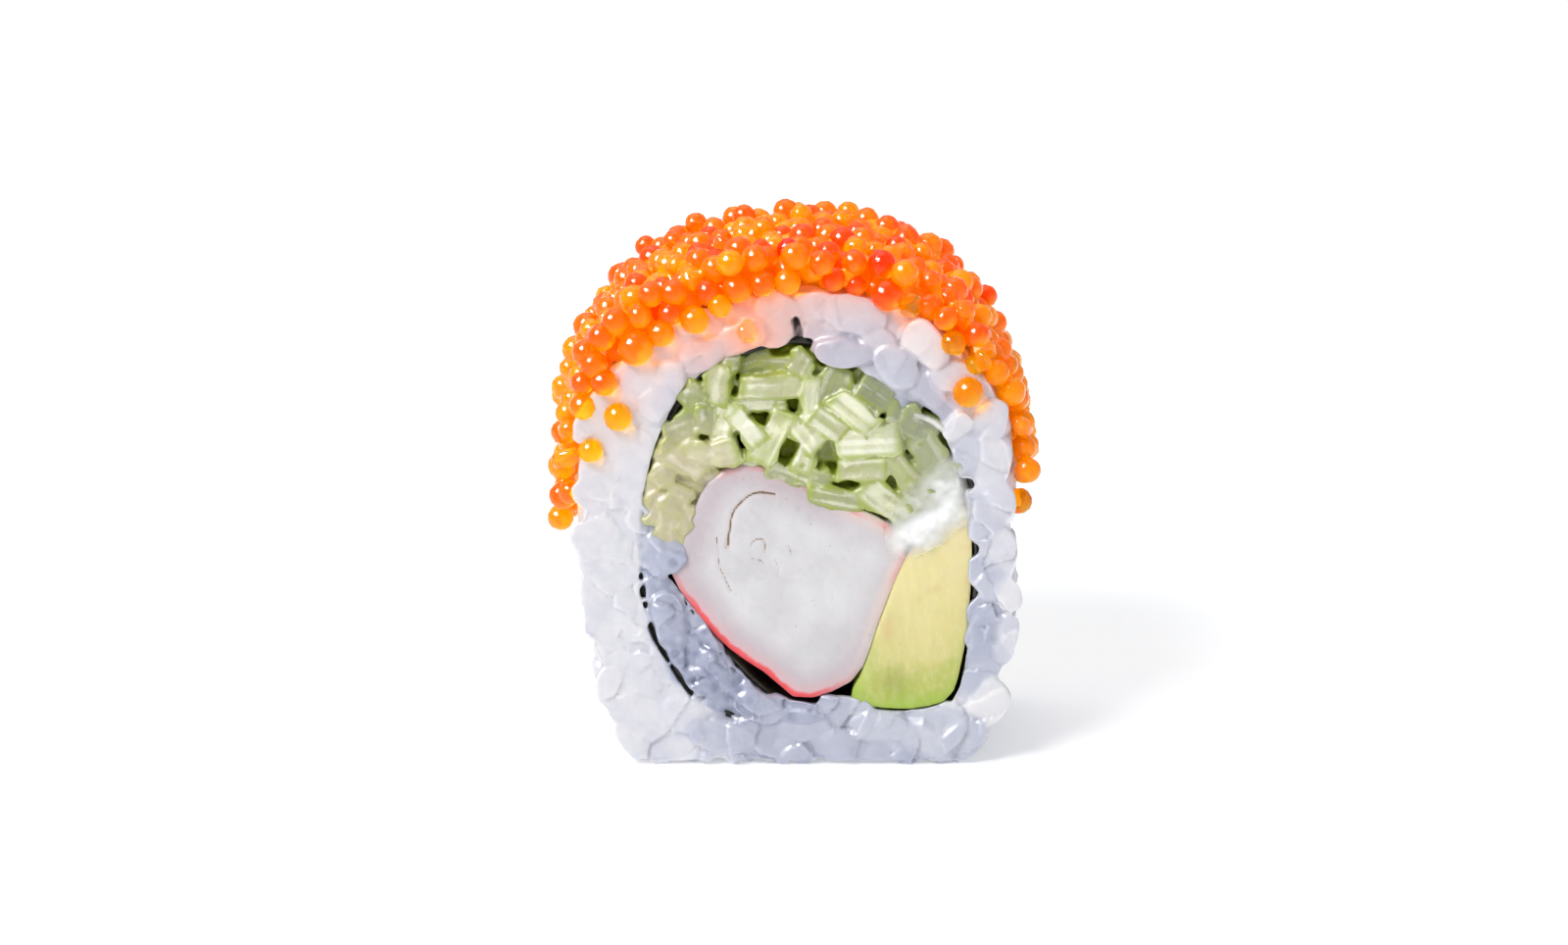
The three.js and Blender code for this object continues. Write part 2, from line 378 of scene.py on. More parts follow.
def ringOf(node):  # a node's outer outline round the roll, as a place and a way out for any angle
    tree = treeOf(cadCopy(node))
    angles = np.linspace(-math.pi, math.pi, 361)
    radii = []
    for angle in angles:
        out = Vector((math.cos(angle), 0, math.sin(angle)))
        hits = []
        for share in (-0.7, -0.35, 0, 0.35, 0.7):
            start = rollMiddle + out * 0.06 + yAxis * (halfDepth * share)
            place = tree.ray_cast(start, -out)[0]
            if place:
                hits.append(math.hypot(place.x - rollMiddle.x, place.z - rollMiddle.z))
        radii.append(sum(hits) / max(1, len(hits)))
    flat = np.array(radii)[:, None] * np.stack([np.cos(angles), np.sin(angles)], axis=1)
    run = np.gradient(flat, axis=0)
    out = np.stack([run[:, 1], -run[:, 0]], axis=1)
    out /= np.maximum(np.linalg.norm(out, axis=1), 1e-9)[:, None]
    return {"angles": angles, "radius": np.array(radii), "out": out}


def angleOf(points):
    return np.arctan2(points[:, 2] - rollMiddle.z, points[:, 0] - rollMiddle.x)


def reachOf(points):  # how far from the roll's middle line
    return np.hypot(points[:, 0] - rollMiddle.x, points[:, 2] - rollMiddle.z)


def onRing(ring, angles, y, rise=0.0):  # places on the outline, raised along its way out
    radius = np.interp(angles, ring["angles"], ring["radius"])
    out = np.stack([np.interp(angles, ring["angles"], ring["out"][:, k]) for k in (0, 1)], axis=1)
    x = rollMiddle.x + radius * np.cos(angles) + out[:, 0] * rise
    z = rollMiddle.z + radius * np.sin(angles) + out[:, 1] * rise
    return np.stack([x, y, z], axis=1), np.stack([out[:, 0], 0 * y, out[:, 1]], axis=1)


def pushes(spots, radii, owner, share):  # how overlapping balls of different owners push each other
    apart = spots[:, None] - spots[None]
    distance = np.linalg.norm(apart, axis=2) + 1e-9
    lack = np.maximum((radii[:, None] + radii[None]) * share - distance, 0)
    lack[owner[:, None] == owner[None]] = 0
    return (apart * (lack / distance)[:, :, None]).sum(axis=1) * 0.5


grain = {
    "length": 5.8 * mm, "width": 3.6 * mm, "height": 2.8 * mm,
    "cutTop": 0.3, "wallTop": 0.62,  # where a grain's top goes flat, as a share of its half height
    "topSlope": 0.16,  # how much of its roundness that top keeps
    "plump": -0.12, "sizes": (0.85, 1.12), "shapes": (0.93, 1.07), "whites": (-0.14, 0.14),
    "wallSpacing": 2.8 * mm, "faceSpacing": 2.8 * mm, "tries": 12000, "rounds": 36,
    "rise": (-0.1 * mm, 0.3 * mm), "faceRise": (-0.4 * mm, 0.0 * mm),
    "coreInset": 0.5 * mm, "faceInset": 0.26 * mm, "voxel": 0.21 * mm, "mostFaces": 190000,
    "warp": 0.3 * mm, "warpSize": 1.7 * mm,  # bends the outlines of the cut grains
    "standOut": (29, 1.8),  # above this height in mm the shown grains rise this much more
    "cutBack": 0.5 * mm, "foot": 0.5 * mm, "unevenFoot": 0.7 * mm,
    "pressed": 0.15 * mm,  # the cut faces are pressed flat at this depth
    "balls": (-0.56, 0, 0.56),  # while settling a grain is three balls, at these shares of its half length
    "wallBall": 0.93, "faceBall": 0.7,  # their radius, as a share of the grain's half width
    "mostMove": 0.3 * mm, "lean": 0.16, "tip": 0.12,
}
lip = {  # the rice closes over the cut edge of the seaweed, nearly everywhere
    "thick": 1.3 * mm, "reach": 0.95 * mm,
    # stretches where the sheet shows: degrees round the roll, and how far the rice reaches there in mm
    "outer": [
        (41, 58, 0.3), (58, 75, 0.4), (86, 92, -0.2), (92, 104, 0.0), (104, 124, 0.12),
        (124, 166, 0.0), (166, 180, 0.3), (180, 192, 0.15), (192, 222, 0.0), (222, 236, -0.02),
        (236, 246, 0.08), (246, 258, 0.2), (-84, -68, 1.9), (17, 21, -0.1), (-6, -1, 0.0),
        (-20, -13, 0.0), (-49, -31, 0.45),
    ],
    "inner": [(178, 196, 0.6), (196, 236, 0.7), (236, 262, 0.15)],
}
shard = {  # flat facets of cut rice
    "count": 260, "tilt": 0.14, "step": 0.09 * mm, "stretch": 1.4, "most": 0.3 * mm, "batch": 4000,
}
# Grains that stand out on the shown face: x, z, length and width in mm, turn in degrees, rise in mm
# and whiteness, which is partly painted light and shade: whitest on the left where the key lamp falls, low
# on the tongue in its recess.
shownGrains = [
    (-13.8, 34.6, 5.3, 3.3, 60, 0.15, 0.9), (-10.7, 34.9, 3.3, 2.9, 80, 0.25, 0.85),
    (-11.1, 32.3, 3.4, 2.9, 75, 0.3, 0.8), (-7.8, 37.0, 4.1, 2.9, 28, 0.1, 0.6),
    (-4.2, 38.3, 4.5, 2.9, 8, 0.15, 0.6), (-1.2, 40.3, 4.5, 3.4, -55, 0.1, 0.6),
    (1.6, 41.6, 4.3, 2.7, 5, 0, 0.7), (5.3, 40.9, 6.3, 3.4, -14, 0.1, 0.7),
    (1.9, 38.9, 2.6, 1.5, -10, -0.35, 0.5), (4.5, 37.6, 5.4, 2.6, -8, 0.3, 0.5),
    (7.7, 38.4, 3.3, 2.2, -20, 0.15, 0.65), (8.9, 36.2, 4.3, 3.1, -65, 0.4, 0.6),
    (11.6, 38.3, 4.6, 3.4, -50, 0.4, 0.95), (14.0, 35.3, 4.6, 2.9, -15, 0.15, 0.8),
    (11.6, 34.2, 4.2, 2.5, -45, 0.1, 0.55), (9.9, 33.2, 4.0, 2.2, -50, -0.3, 0.3),
    (13.0, 32.0, 3.6, 2.2, -50, -0.1, 0.5), (14.4, 30.9, 2.9, 2.2, 40, 0.3, 0.95),
    (17.3, 31.4, 3.9, 3.1, 70, 0.1, 0.8), (15.1, 28.3, 3.9, 2.9, 85, 0.15, 0.7),
    (17.5, 27.6, 4.5, 3.3, 80, 0.2, 0.85), (18.2, 24.0, 4.1, 2.9, 95, 0.1, 0.8),
    (16.9, 22.3, 3.9, 2.9, 80, 0.1, 0.7), (18.3, 19.2, 4.5, 2.7, 90, 0, 0.8),
    (16.7, 16.9, 3.9, 2.9, 75, 0.15, 0.6), (19.0, 15.7, 3.4, 2.2, -75, 0.3, 0.95),
    (16.7, 12.3, 4.8, 3.1, 80, 0.1, 0.35), (18.7, 11.6, 4.3, 2.4, 70, 0.1, 0.8),
    (16.5, 7.8, 3.1, 2.4, 60, -0.1, 0.5), (17.2, 5.8, 4.3, 3.4, 55, 0.25, 0.95),
    (15.3, 2.8, 4.3, 2.9, 30, 0.1, 0.7), (11.8, 2.1, 5.3, 3.3, -35, 0.15, 0.65),
    (7.7, 3.5, 5.7, 2.4, -5, 0.2, 0.6), (4.0, 1.7, 4.6, 2.6, -4, 0, 0.5),
    (8.3, 1.2, 3.9, 2.2, 8, 0, 0.5), (1.4, 3.3, 5.0, 2.6, -12, 0.1, 0.55),
    (-0.8, 1.2, 4.3, 2.2, 4, 0, 0.5), (-6.2, 3.1, 5.8, 2.9, -4, 0.35, 0.55),
    (-9.5, 5.1, 4.1, 3.1, -32, 0.1, 0.85), (-3.6, 1.9, 3.9, 2.2, -8, -0.1, 0.5),
    (-13.2, 27.7, 5.1, 3.3, 78, 0.1, 0.9), (-15.5, 29.3, 4.8, 2.9, 70, 0, 0.95),
    (-14.6, 23.3, 5.1, 3.3, 85, 0.1, 0.9), (-17.0, 22.4, 4.5, 2.9, 80, 0, 1),
    (-15.3, 18.5, 5.0, 3.3, 88, 0, 0.95), (-17.4, 16.2, 4.5, 2.7, 95, 0, 1),
    (-14.6, 13.6, 5.1, 3.3, -80, 0.05, 0.95), (-16.5, 11.3, 4.3, 2.7, -78, 0, 1),
    (-13.4, 8.6, 5.0, 3.1, -65, 0.1, 0.85), (-15.7, 6.8, 4.5, 2.9, -70, 0, 1),
    (-12.5, 4.1, 4.8, 3.1, -35, 0, 0.95), (-14.7, 2.3, 3.8, 2.6, -50, 0, 1),
    (-10.4, 1.5, 4.3, 2.4, -12, 0, 0.9), (-6.5, 0.5, 3.9, 1.9, 0, -0.1, 0.7),
    # the tongue of rice between the two ends of the seaweed
    (-11.4, 13.4, 4.8, 2.9, -74, 0.35, 0.42), (-9.3, 9.9, 4.4, 2.9, -58, 0.1, 0.15),
    (-7.1, 9.0, 4.2, 2.5, -44, 0.45, 0.3), (-4.9, 7.4, 3.6, 2.3, -34, 0.1, 0.1),
    (-3.2, 5.6, 4.6, 2.6, -24, 0.4, 0.4), (-6.6, 6.2, 3.6, 2.1, -46, -0.1, 0.5),
    (-12.1, 17.1, 3.9, 2.1, -80, -0.2, 0.2), (0.6, 5.0, 3.6, 2.1, -8, 0.15, 0.2),
    (2.9, 4.5, 3.0, 1.9, -4, -0.1, 0.5),
]


def lipReach(x, z, ring):  # how far rice reaches over the sheet's cut edge at a place on the face
    spot = np.array([[x, 0, z]])
    angle = math.degrees(angleOf(spot)[0])
    radius = np.interp(angleOf(spot), ring["angles"], ring["radius"])[0]
    isInner = 178 < angle % 360 < 262 and reachOf(spot)[0] < radius - 1.2 * mm
    layer = "inner" if isInner else "outer"
    for low, high, reach in lip[layer]:
        if low < (angle % 360 if low > 90 else angle) < high:
            return reach * mm
    return lip["reach"]


def facePlace(tree, x, z, side):  # whether a place on a cut face has rice behind it
    hit = tree.ray_cast(Vector((x, side * 0.05, z)), Vector((0, -side, 0)))[0]
    return hit is not None and abs(hit.y) > halfDepth - 1.6 * mm


def turnOffFilling(tree, place, half, turn):  # a turn with both ends of the grain on rice
    turns = 8
    for _ in range(turns):
        x, z = math.cos(turn) * half[0], math.sin(turn) * half[0]
        if all(facePlace(tree, place[0] + x * way, place[2] + z * way, 1) for way in (-1, 1)):
            return turn
        turn += math.pi / turns
    half[0] = half[1]  # nowhere, so it is shortened
    return turn


def whiteAndLightAt(x, z):  # rice is painted whitest on the left, painted light where the key lamp falls, and darker and more glassy low down and by the filling, partly painted shade
    low = 1 - step(z, 1 * mm, 9 * mm)
    left = 1 - step(x, -13 * mm, -6 * mm)
    right = step(x, 12 * mm, 16 * mm)
    return np.clip(0.56 + 0.3 * left + 0.08 * right - 0.16 * low * (1 - left), 0, 1)


def warped(points):  # how far the grains' places are bent, along the cut face
    shift = [grain["warp"] * softNoise(points, grain["warpSize"], seed) for seed in (14, 27)]
    return np.stack([shift[0], np.zeros(len(points)), shift[1]], axis=1)


def tuckedShare(points, sheetRing):  # 1 on the tongue of rice between the sheet's two ends
    edge = np.interp(angleOf(points), sheetRing["angles"], sheetRing["radius"])
    turn = np.degrees(angleOf(points)) % 360
    inside = step(edge - reachOf(points), 0, 0.4 * mm)
    return inside * step(turn, 150, 165) * (1 - step(turn, 238, 268))


def shards(points):  # facets of broken and cut grains, as (height, number of the facet)
    dice = np.random.default_rng(12)
    count = shard["count"]
    centres = dice.uniform((riceLow.x, 0), (riceHigh.x, riceHigh.z), (count, 2))
    way = dice.uniform(0, math.pi, count)
    tilt = dice.normal(0, shard["tilt"], (count, 2))
    lift = dice.uniform(-1, 1, count) * shard["step"]
    height, owner = np.empty(len(points)), np.empty(len(points), int)
    flat = points[:, [0, 2]]
    for start in range(0, len(points), shard["batch"]):
        part = slice(start, start + shard["batch"])
        apart = flat[part, None] - centres[None]
        along = apart[:, :, 0] * np.cos(way) + apart[:, :, 1] * np.sin(way)
        across = apart[:, :, 1] * np.cos(way) - apart[:, :, 0] * np.sin(way)
        near = np.argmin((along / shard["stretch"]) ** 2 + (across * shard["stretch"]) ** 2, axis=1)
        rows = np.arange(len(near))
        slope = (apart[rows, near] * tilt[near]).sum(axis=1)
        height[part] = lift[near] + np.clip(slope, -shard["most"], shard["most"])
        owner[part] = near
    return height, owner


def layGrains(tree, ring):  # first places of the grains; side is 0 on the outer wall
    dice = random.Random(4)
    grains = []
    for x, z, length, width, turn, rise, white in shownGrains:
        grains.append({
            "centre": (x * mm, 0, z * mm), "turn": math.radians(turn), "side": -1, "shown": True,
            "half": (length / 2 * mm, width / 2 * mm, grain["height"] / 2),
            "rise": rise * mm * (grain["standOut"][1] if z > grain["standOut"][0] else 1),
            "white": white,
        })
    taken = {side: [g["centre"] for g in grains if g["side"] == side] for side in (-1, 0, 1)}
    for attempt in range(grain["tries"]):
        side = (0, 0, -1, 1)[attempt % 4]
        if side:
            x, z = dice.uniform(riceLow.x, riceHigh.x), dice.uniform(0, riceHigh.z)
            if not facePlace(tree, x, z, side):
                continue
            place, spacing = (x, 0, z), grain["faceSpacing"]
        else:
            angle, y = dice.uniform(-math.pi, math.pi), dice.uniform(-1, 1) * (halfDepth - 1.8 * mm)
            place = tuple(onRing(ring, np.array([angle]), np.array([y]))[0][0])
            spacing = grain["wallSpacing"]
        if taken[side] and np.min(np.linalg.norm(np.array(taken[side]) - place, axis=1)) < spacing:
            continue
        taken[side].append(place)
        size = dice.uniform(*grain["sizes"])
        half = [grain[key] / 2 * size * dice.uniform(*grain["shapes"])
                for key in ("length", "width", "height")]
        rise = dice.uniform(*grain["faceRise" if side else "rise"])
        white = np.clip(whiteAndLightAt(place[0], place[2]) + dice.uniform(*grain["whites"]), 0, 1)
        turn = dice.uniform(0, math.pi)
        if side == 1:
            turn = turnOffFilling(tree, place, half, turn)
        grains.append({
            "centre": place, "turn": turn, "side": side, "shown": False,
            "half": tuple(half), "rise": rise, "white": float(white),
        })
    return grains


def settleGrains(grains, ring, sheetTree, sheetRing):  # slides the grains until they lie side by side
    side = np.array([g["side"] for g in grains])
    held = np.array([g["shown"] for g in grains])
    half = np.array([g["half"] for g in grains])
    rise = np.array([g["rise"] for g in grains])
    turn = np.array([g["turn"] for g in grains])
    centre = np.array([g["centre"] for g in grains], float)
    wall = side == 0
    face = ~wall
    top = np.where(wall, flatTop(grain["wallTop"]), flatTop(grain["cutTop"]))
    centre[face, 1] = (side * (halfDepth + rise - half[:, 2] * top))[face]
    along = np.stack([np.cos(turn), np.sin(turn) * 0, np.sin(turn)], axis=1)
    out = onRing(ring, angleOf(centre), centre[:, 1])[1]
    around = np.stack([-out[:, 2], 0 * turn, out[:, 0]], axis=1)
    along[wall] = (around * np.cos(turn)[:, None] + np.array([0, 1, 0]) * np.sin(turn)[:, None])[wall]
    radii = np.repeat(half[:, 1] * np.where(wall, grain["wallBall"], grain["faceBall"]), 3)
    owner = np.repeat(np.arange(len(grains)), 3)
    shares = np.array(grain["balls"])
    for _ in range(grain["rounds"]):
        spots = centre[:, None] + along[:, None] * (half[:, :1] * shares)[:, :, None]
        force = pushes(spots.reshape(-1, 3), radii, owner, 1).reshape(-1, 3, 3)
        over = reachOf(spots.reshape(-1, 3)) + radii * 0.95
        over -= np.interp(angleOf(spots.reshape(-1, 3)), ring["angles"], ring["radius"])
        inward = -np.stack([out[:, 0], 0 * turn, out[:, 2]], axis=1)
        pull = np.maximum(over, 0).reshape(-1, 3) * face[:, None]
        force += inward[:, None] * pull[:, :, None]
        force[held] = 0
        for i in np.flatnonzero(face):  # kept off the seaweed's edge where it shows
            for k in range(3):
                spot = Vector(spots[i, k])
                near, _, _, distance = sheetTree.find_nearest(Vector((spot.x, 0, spot.z)))
                room = half[i, 1] * 0.95 - lipReach(near.x, near.z, sheetRing)
                if distance < room:
                    away = Vector((spot.x - near.x, 0, spot.z - near.z)).normalized()
                    force[i, k] += np.array(away) * (room - distance)
        centre += np.clip(force.mean(axis=1) * 1.4, -grain["mostMove"], grain["mostMove"])
        along += (force[:, 2] - force[:, 0]) / half[:, :1] * 0.5
        centre[face, 1] = (side * (halfDepth + rise - half[:, 2] * top))[face]
        along[face, 1] = 0
        y = np.clip(centre[:, 1], -halfDepth + 1.8 * mm, halfDepth - 1.8 * mm)
        laid, out = onRing(ring, angleOf(centre), y)
        centre[wall] = (laid + out * (rise - half[:, 2] * top)[:, None])[wall]
        along[wall] -= (out * (along * out).sum(axis=1)[:, None])[wall]
        along /= np.linalg.norm(along, axis=1)[:, None]
    dice = random.Random(6)
    places = []
    for i in range(len(grains)):
        up = Vector((0, side[i], 0)) if face[i] else Vector(out[i])
        across = up.cross(Vector(along[i]))
        share = 0.4 if held[i] else 1
        up = (up + across * dice.uniform(-grain["lean"], grain["lean"]) * share).normalized()
        way = Vector(along[i]) + up * dice.uniform(-grain["tip"], grain["tip"]) * share
        way.normalize()
        places.append(placed(Vector(centre[i]), way, up, half[i]))
    return places


def flatTop(level):  # how high a grain stands once its top is flat
    return level + (1 - level) * grain["topSlope"]


def grainShape(level):
    bm = bmesh.new()
    bmesh.ops.create_icosphere(bm, subdivisions=3, radius=1)
    for v in bm.verts:  # plumper than an egg, and flat on top
        ring = max(1e-3, 1 - v.co.x ** 2)
        v.co.yz *= ring ** grain["plump"]
        if v.co.z > level:
            v.co.z = level + (v.co.z - level) * grain["topSlope"]
    return bm


def riceCore(ring, sheetTree, sheetRing):  # what is under the grains, with its lips over the seaweed's edge
    bm = cadCopy("rice")
    inset = grain["coreInset"]
    for side in (-1, 1):
        for depth in (lip["thick"], lip["thick"] * 1.1):
            bmesh.ops.bisect_plane(bm, geom=bm.verts[:] + bm.edges[:] + bm.faces[:], dist=1e-7,
                                   plane_co=(0, side * (halfDepth - depth), 0), plane_no=(0, 1, 0))
    points = np.array([v.co for v in bm.verts])
    outer = np.interp(angleOf(points), ring["angles"], ring["radius"])
    for v, reach, edge in zip(bm.verts, reachOf(points), outer):
        if reach > edge - 0.9 * mm:
            out = Vector((v.co.x - rollMiddle.x, 0, v.co.z - rollMiddle.z)).normalized()
            v.co -= out * (reach - edge + inset)
        near, _, _, distance = sheetTree.find_nearest(Vector((v.co.x, 0, v.co.z)))
        if distance < 0.3 * mm and abs(v.co.y) > halfDepth - lip["thick"] * 1.01:
            over = Vector((near.x - v.co.x, 0, near.z - v.co.z)).normalized()
            v.co += over * (distance + lipReach(near.x, near.z, sheetRing))
        v.co.y = math.copysign(min(abs(v.co.y), halfDepth - grain["faceInset"]), v.co.y)
    return bm


shownGap = {  # a gap between two grains, pressed in and painted near black as painted shade, along a line through x and z in mm
    "line": [(0.5, 38.0), (0.45, 39.0), (0.2, 40.2)], "width": 0.42 * mm, "depth": 1.1 * mm,
}


def gapShare(points):  # 1 in the gap, 0 away from it
    line = [np.array(place) * mm for place in shownGap["line"]]
    away = lineDistance(points[:, [0, 2]], line) / shownGap["width"]
    return (1 - step(away, 0.4, 1.1)) * (points[:, 1] < 0)


def joinGrains(grains, places, core):  # the core with the grains pressed into it, as one closed mesh
    for onWall, level in ((False, "cutTop"), (True, "wallTop")):
        chosen = [place for g, place in zip(grains, places) if (g["side"] == 0) == onWall]
        mesh = scattered("grains", grainShape(grain[level]), chosen)
        points = readPoints(mesh)
        if onWall:  # the knife has cut these off behind the face
            over = np.maximum(np.abs(points[:, 1]) - (halfDepth - grain["cutBack"]), 0)
            points[:, 1] -= np.sign(points[:, 1]) * over * 0.9
        else:
            points += warped(points)
        writePoints(mesh, points)
        core.from_mesh(mesh)
        bpy.data.meshes.remove(mesh)
    piece = objectOf("riceGrains", meshOf("riceGrains", core))
    points = readPoints(piece.data)
    foot = grain["foot"]
    points[:, 2] = np.where(points[:, 2] < foot, foot + (points[:, 2] - foot) * 0.1, points[:, 2])
    writePoints(piece.data, points)
    remesh(piece, grain["voxel"], smooth=1)
    return piece


def shapeRice(mesh, sheetRing):  # presses and cuts the faces, and makes the foot uneven
    points, normals = readPoints(mesh), readNormals(mesh)
    tucked = tuckedShare(points, sheetRing)
    lumps = 0.06 * mm * softNoise(points, 1.3 * mm, 3)
    lumps += (0.04 + 0.1 * tucked) * mm * softNoise(points, 0.6 * mm, 8)
    points += normals * lumps[:, None]
    onFace = faceShare(points, 1.1, 0.7)
    smooth = 1 - step(points[:, 0], -14 * mm, -8 * mm)  # rice is pressed smoothest on the left
    pressed = step(points[:, 0], 13 * mm, 16 * mm)
    plain = 1 - 0.75 * step(points[:, 2], 29 * mm, 33 * mm)  # single grains stand out at the top
    flatter = onFace * (0.3 + 0.42 * smooth + 0.25 * pressed) * (1 - tucked) * plain
    side, level = np.sign(points[:, 1]), halfDepth - grain["pressed"]
    points[:, 1] -= side * (np.abs(points[:, 1]) - level) * flatter
    facets, _ = shards(points)
    facing = step(np.abs(normals[:, 1]), 0.3, 0.8)
    sharp = plain - 0.5 * smooth * plain + 0.8 * tucked
    points[:, 1] += side * facets * onFace * facing * sharp
    points[:, 2] = np.where(points[:, 2] < 0.45 * mm, points[:, 2] * 0.4, points[:, 2])
    uneven = grain["unevenFoot"] * step(softNoise(points * (1, 1, 0), 2.3 * mm, 19), 0.0, 0.8)
    points[:, 2] = np.maximum(points[:, 2] - 0.12 * mm, np.where(points[:, 2] < 1 * mm, uneven, 0))
    points[:, 1] += shownGap["depth"] * gapShare(points) * onFace
    corner = step(points[:, 0], -12 * mm, -18 * mm) * step(points[:, 2], 6 * mm, 0)
    points[:, 0] += 1.5 * mm * corner  # the shown foot is rounder on the left
    writePoints(mesh, points)


def makeRice(ring, sheetRing):
    sheetTree = treeOf(cadCopy("nori"))
    grains = layGrains(treeOf(cadCopy("rice")), ring)
    places = settleGrains(grains, ring, sheetTree, sheetRing)
    print(f"rice: {len(grains)} grains")
    piece = joinGrains(grains, places, riceCore(ring, sheetTree, sheetRing))
    shapeRice(piece.data, sheetRing)
    points = readPoints(piece.data)
    outer = np.interp(angleOf(points), ring["angles"], ring["radius"])
    deep = np.abs(points[:, 1]) < halfDepth - 2.2 * mm
    thin(piece, 0.55, deep & ((reachOf(points) < outer - 2.2 * mm) | (points[:, 2] > 31 * mm)))
    if triangles(piece.data) > grain["mostFaces"]:
        thin(piece, grain["mostFaces"] / triangles(piece.data))
    return piece, grains, places


def grainTone(points, grains, places):  # how white the grains are there, and 1 in the creases between them, where painted shade goes
    near, within = nearShapes(places, 0.6, points, 10)
    level = np.array([grain["wallTop"] if g["side"] == 0 else grain["cutTop"] for g in grains])[near]
    over = np.maximum(within[:, :, 2] - level, 0)
    within[:, :, 2] = np.minimum(within[:, :, 2], level) + over / grain["topSlope"]
    depth = np.linalg.norm(within, axis=2)  # how deep a point is in each grain near it, 1 at its skin
    first = near[np.arange(len(points)), depth.argmin(axis=1)]
    least = depth.min(axis=1)
    others = np.where(near == first[:, None], 9, depth).min(axis=1)
    share = np.exp(-(depth - least[:, None]) / 0.1)
    each = np.array([g["white"] for g in grains])[near]
    return (share * each).sum(axis=1) / share.sum(axis=1), 1 - step(others - least, 0, 0.22)


def roeStainAndBounceAt(points, eggs):  # how far the roe has coloured the rice, its stain with painted light bounced from the roe, most at the top of the face
    finder = KDTree(len(eggs))
    for i, (centre, _, _) in enumerate(eggs):
        finder.insert(centre, i)
    finder.balance()
    reach = np.array([finder.find(p)[2] for p in points])
    onTop = step(points[:, 2], 30 * mm, 37 * mm)
    widest = np.exp(-((points[:, 0] + 3 * mm) / (7 * mm)) ** 2)
    stain = np.exp(-np.maximum(reach - 1.3 * mm, 0) / ((1.8 + 2.6 * widest) * mm))
    patchy = 1 + 0.45 * softNoise(points, 2.2 * mm, 6)
    return stain * patchy * (0.1 + onTop * (0.26 + 0.9 * widest))


def tintRice(mesh, grains, places, eggs, sheetRing):  # stores what the rice's material goes by
    points = readPoints(mesh)
    onFace = faceShare(points, 1.4, 1.0)
    white, crease = grainTone(points - warped(points) * onFace[:, None], grains, places)
    _, facet = shards(points)
    shade = np.random.default_rng(3).uniform(-1, 1, shard["count"])[facet] * onFace
    left = 1 - step(points[:, 0], -14 * mm, -8 * mm)
    right = step(points[:, 0], 13 * mm, 16 * mm)
    top = step(points[:, 2], 30 * mm, 34 * mm)
    tucked = tuckedShare(points, sheetRing)
    # the ground whiteness holds painted light on the left and painted shade low down
    ground = whiteAndLightAt(points[:, 0], points[:, 2])
    white = ground + (white - ground) * (1 - 0.6 * left) + 0.07 * shade * (1 - 0.8 * left)
    # the tongue between the sheet's ends is painted darker: painted shade of its recess as well as a
    # glassier tone
    white += (0.01 + 0.1 * shade + (white - 0.3) * 0.9 - white) * tucked
    # painted shade in the creases, strongest at the top and on the tongue, weakest on the left
    crease = crease * (1 - 0.7 * left) * (1 - 0.4 * right) * (1 + 0.8 * np.maximum(tucked, top))
    store(mesh, white=np.clip(white, 0, 1), crease=crease, gap=gapShare(points) * onFace,
          stain=roeStainAndBounceAt(points, eggs))


def paintRice():
    paint = Paint("rice")
    white = paint.held("white")
    crease = paint.held("crease")
    stain = paint.held("stain")
    crystal = paint.cells(1.1 * mm)
    glassy = paint.span(white, 0.42, 0.22) + stain * 0.4
    cloud = paint.noise(1.2 * mm, 3)
    color = paint.ramp(
        white + (cloud - 0.5) * 0.3,
        (0.0, (0.29, 0.31, 0.42)), (0.35, (0.45, 0.47, 0.57)), (0.7, (0.60, 0.61, 0.68)),
        (1.0, (0.75, 0.74, 0.755)),
    )
    color = paint.layers(
        color,
        (glassy * paint.span(crystal, 0.25, 0.6) * 0.4, (0.55, 0.58, 0.70)),
        # painted shade in the creases between grains
        (crease * 0.3, (0.46, 0.47, 0.56)),
        # pink-orange by the roe: its stain and painted light bounced from it
        (stain * 0.85, (0.87, 0.44, 0.32)),
        # painted shade in the gap, near black
        (paint.held("gap"), (0.02, 0.008, 0.01)),
    )
    fine = paint.noise(0.4 * mm, 4, 0.65)
    rough = paint.span(white + (fine - 0.5) * 0.4, 0.3, 0.9, 0.3, 0.52)
    bump = paint.bump(fine + crystal * glassy * 3, 0.4, 0.1 * mm)
    return paint.moist(color, rough, bump, (1.0, 0.95, 0.95), 0.55 * mm, 0.08, 0.15, IOR=1.34)


noriSheet = {"cuts": 16, "wobble": 0.1 * mm, "ragged": 0.3 * mm, "back": 0.5 * mm}


def makeNori():
    bm = cadCopy("nori")
    bmesh.ops.dissolve_limit(bm, angle_limit=math.radians(0.6), verts=bm.verts, edges=bm.edges)
    long = [e for e in bm.edges if abs(e.verts[0].co.y - e.verts[1].co.y) > 10 * mm]
    bmesh.ops.subdivide_edges(bm, edges=long, cuts=noriSheet["cuts"], use_grid_fill=True)
    across = [e for e in bm.edges if abs(e.verts[0].co.y - e.verts[1].co.y) < 0.1 * mm
              and len(e.link_faces) == 2 and e.calc_length() > 0.9 * mm]
    bmesh.ops.subdivide_edges(bm, edges=across, cuts=1, use_grid_fill=True)
    piece = objectOf("noriSheet", meshOf("noriSheet", bm))
    mesh = piece.data
    points = readPoints(mesh)
    flat = points * (1, 0.35, 1)
    for axis, seed in ((0, 3), (2, 9)):
        points[:, axis] += noriSheet["wobble"] * softNoise(flat, 1.7 * mm, seed)
    rim = np.abs(points[:, 1]) > halfDepth - 0.6 * mm
    points[rim, 1] += noriSheet["ragged"] * softNoise(points[rim], 0.7 * mm, 5)
    points[rim, 1] -= np.sign(points[rim, 1]) * noriSheet["back"]
    writePoints(mesh, points)
    return finishPiece(piece, paintNori(), "nori", "nori")


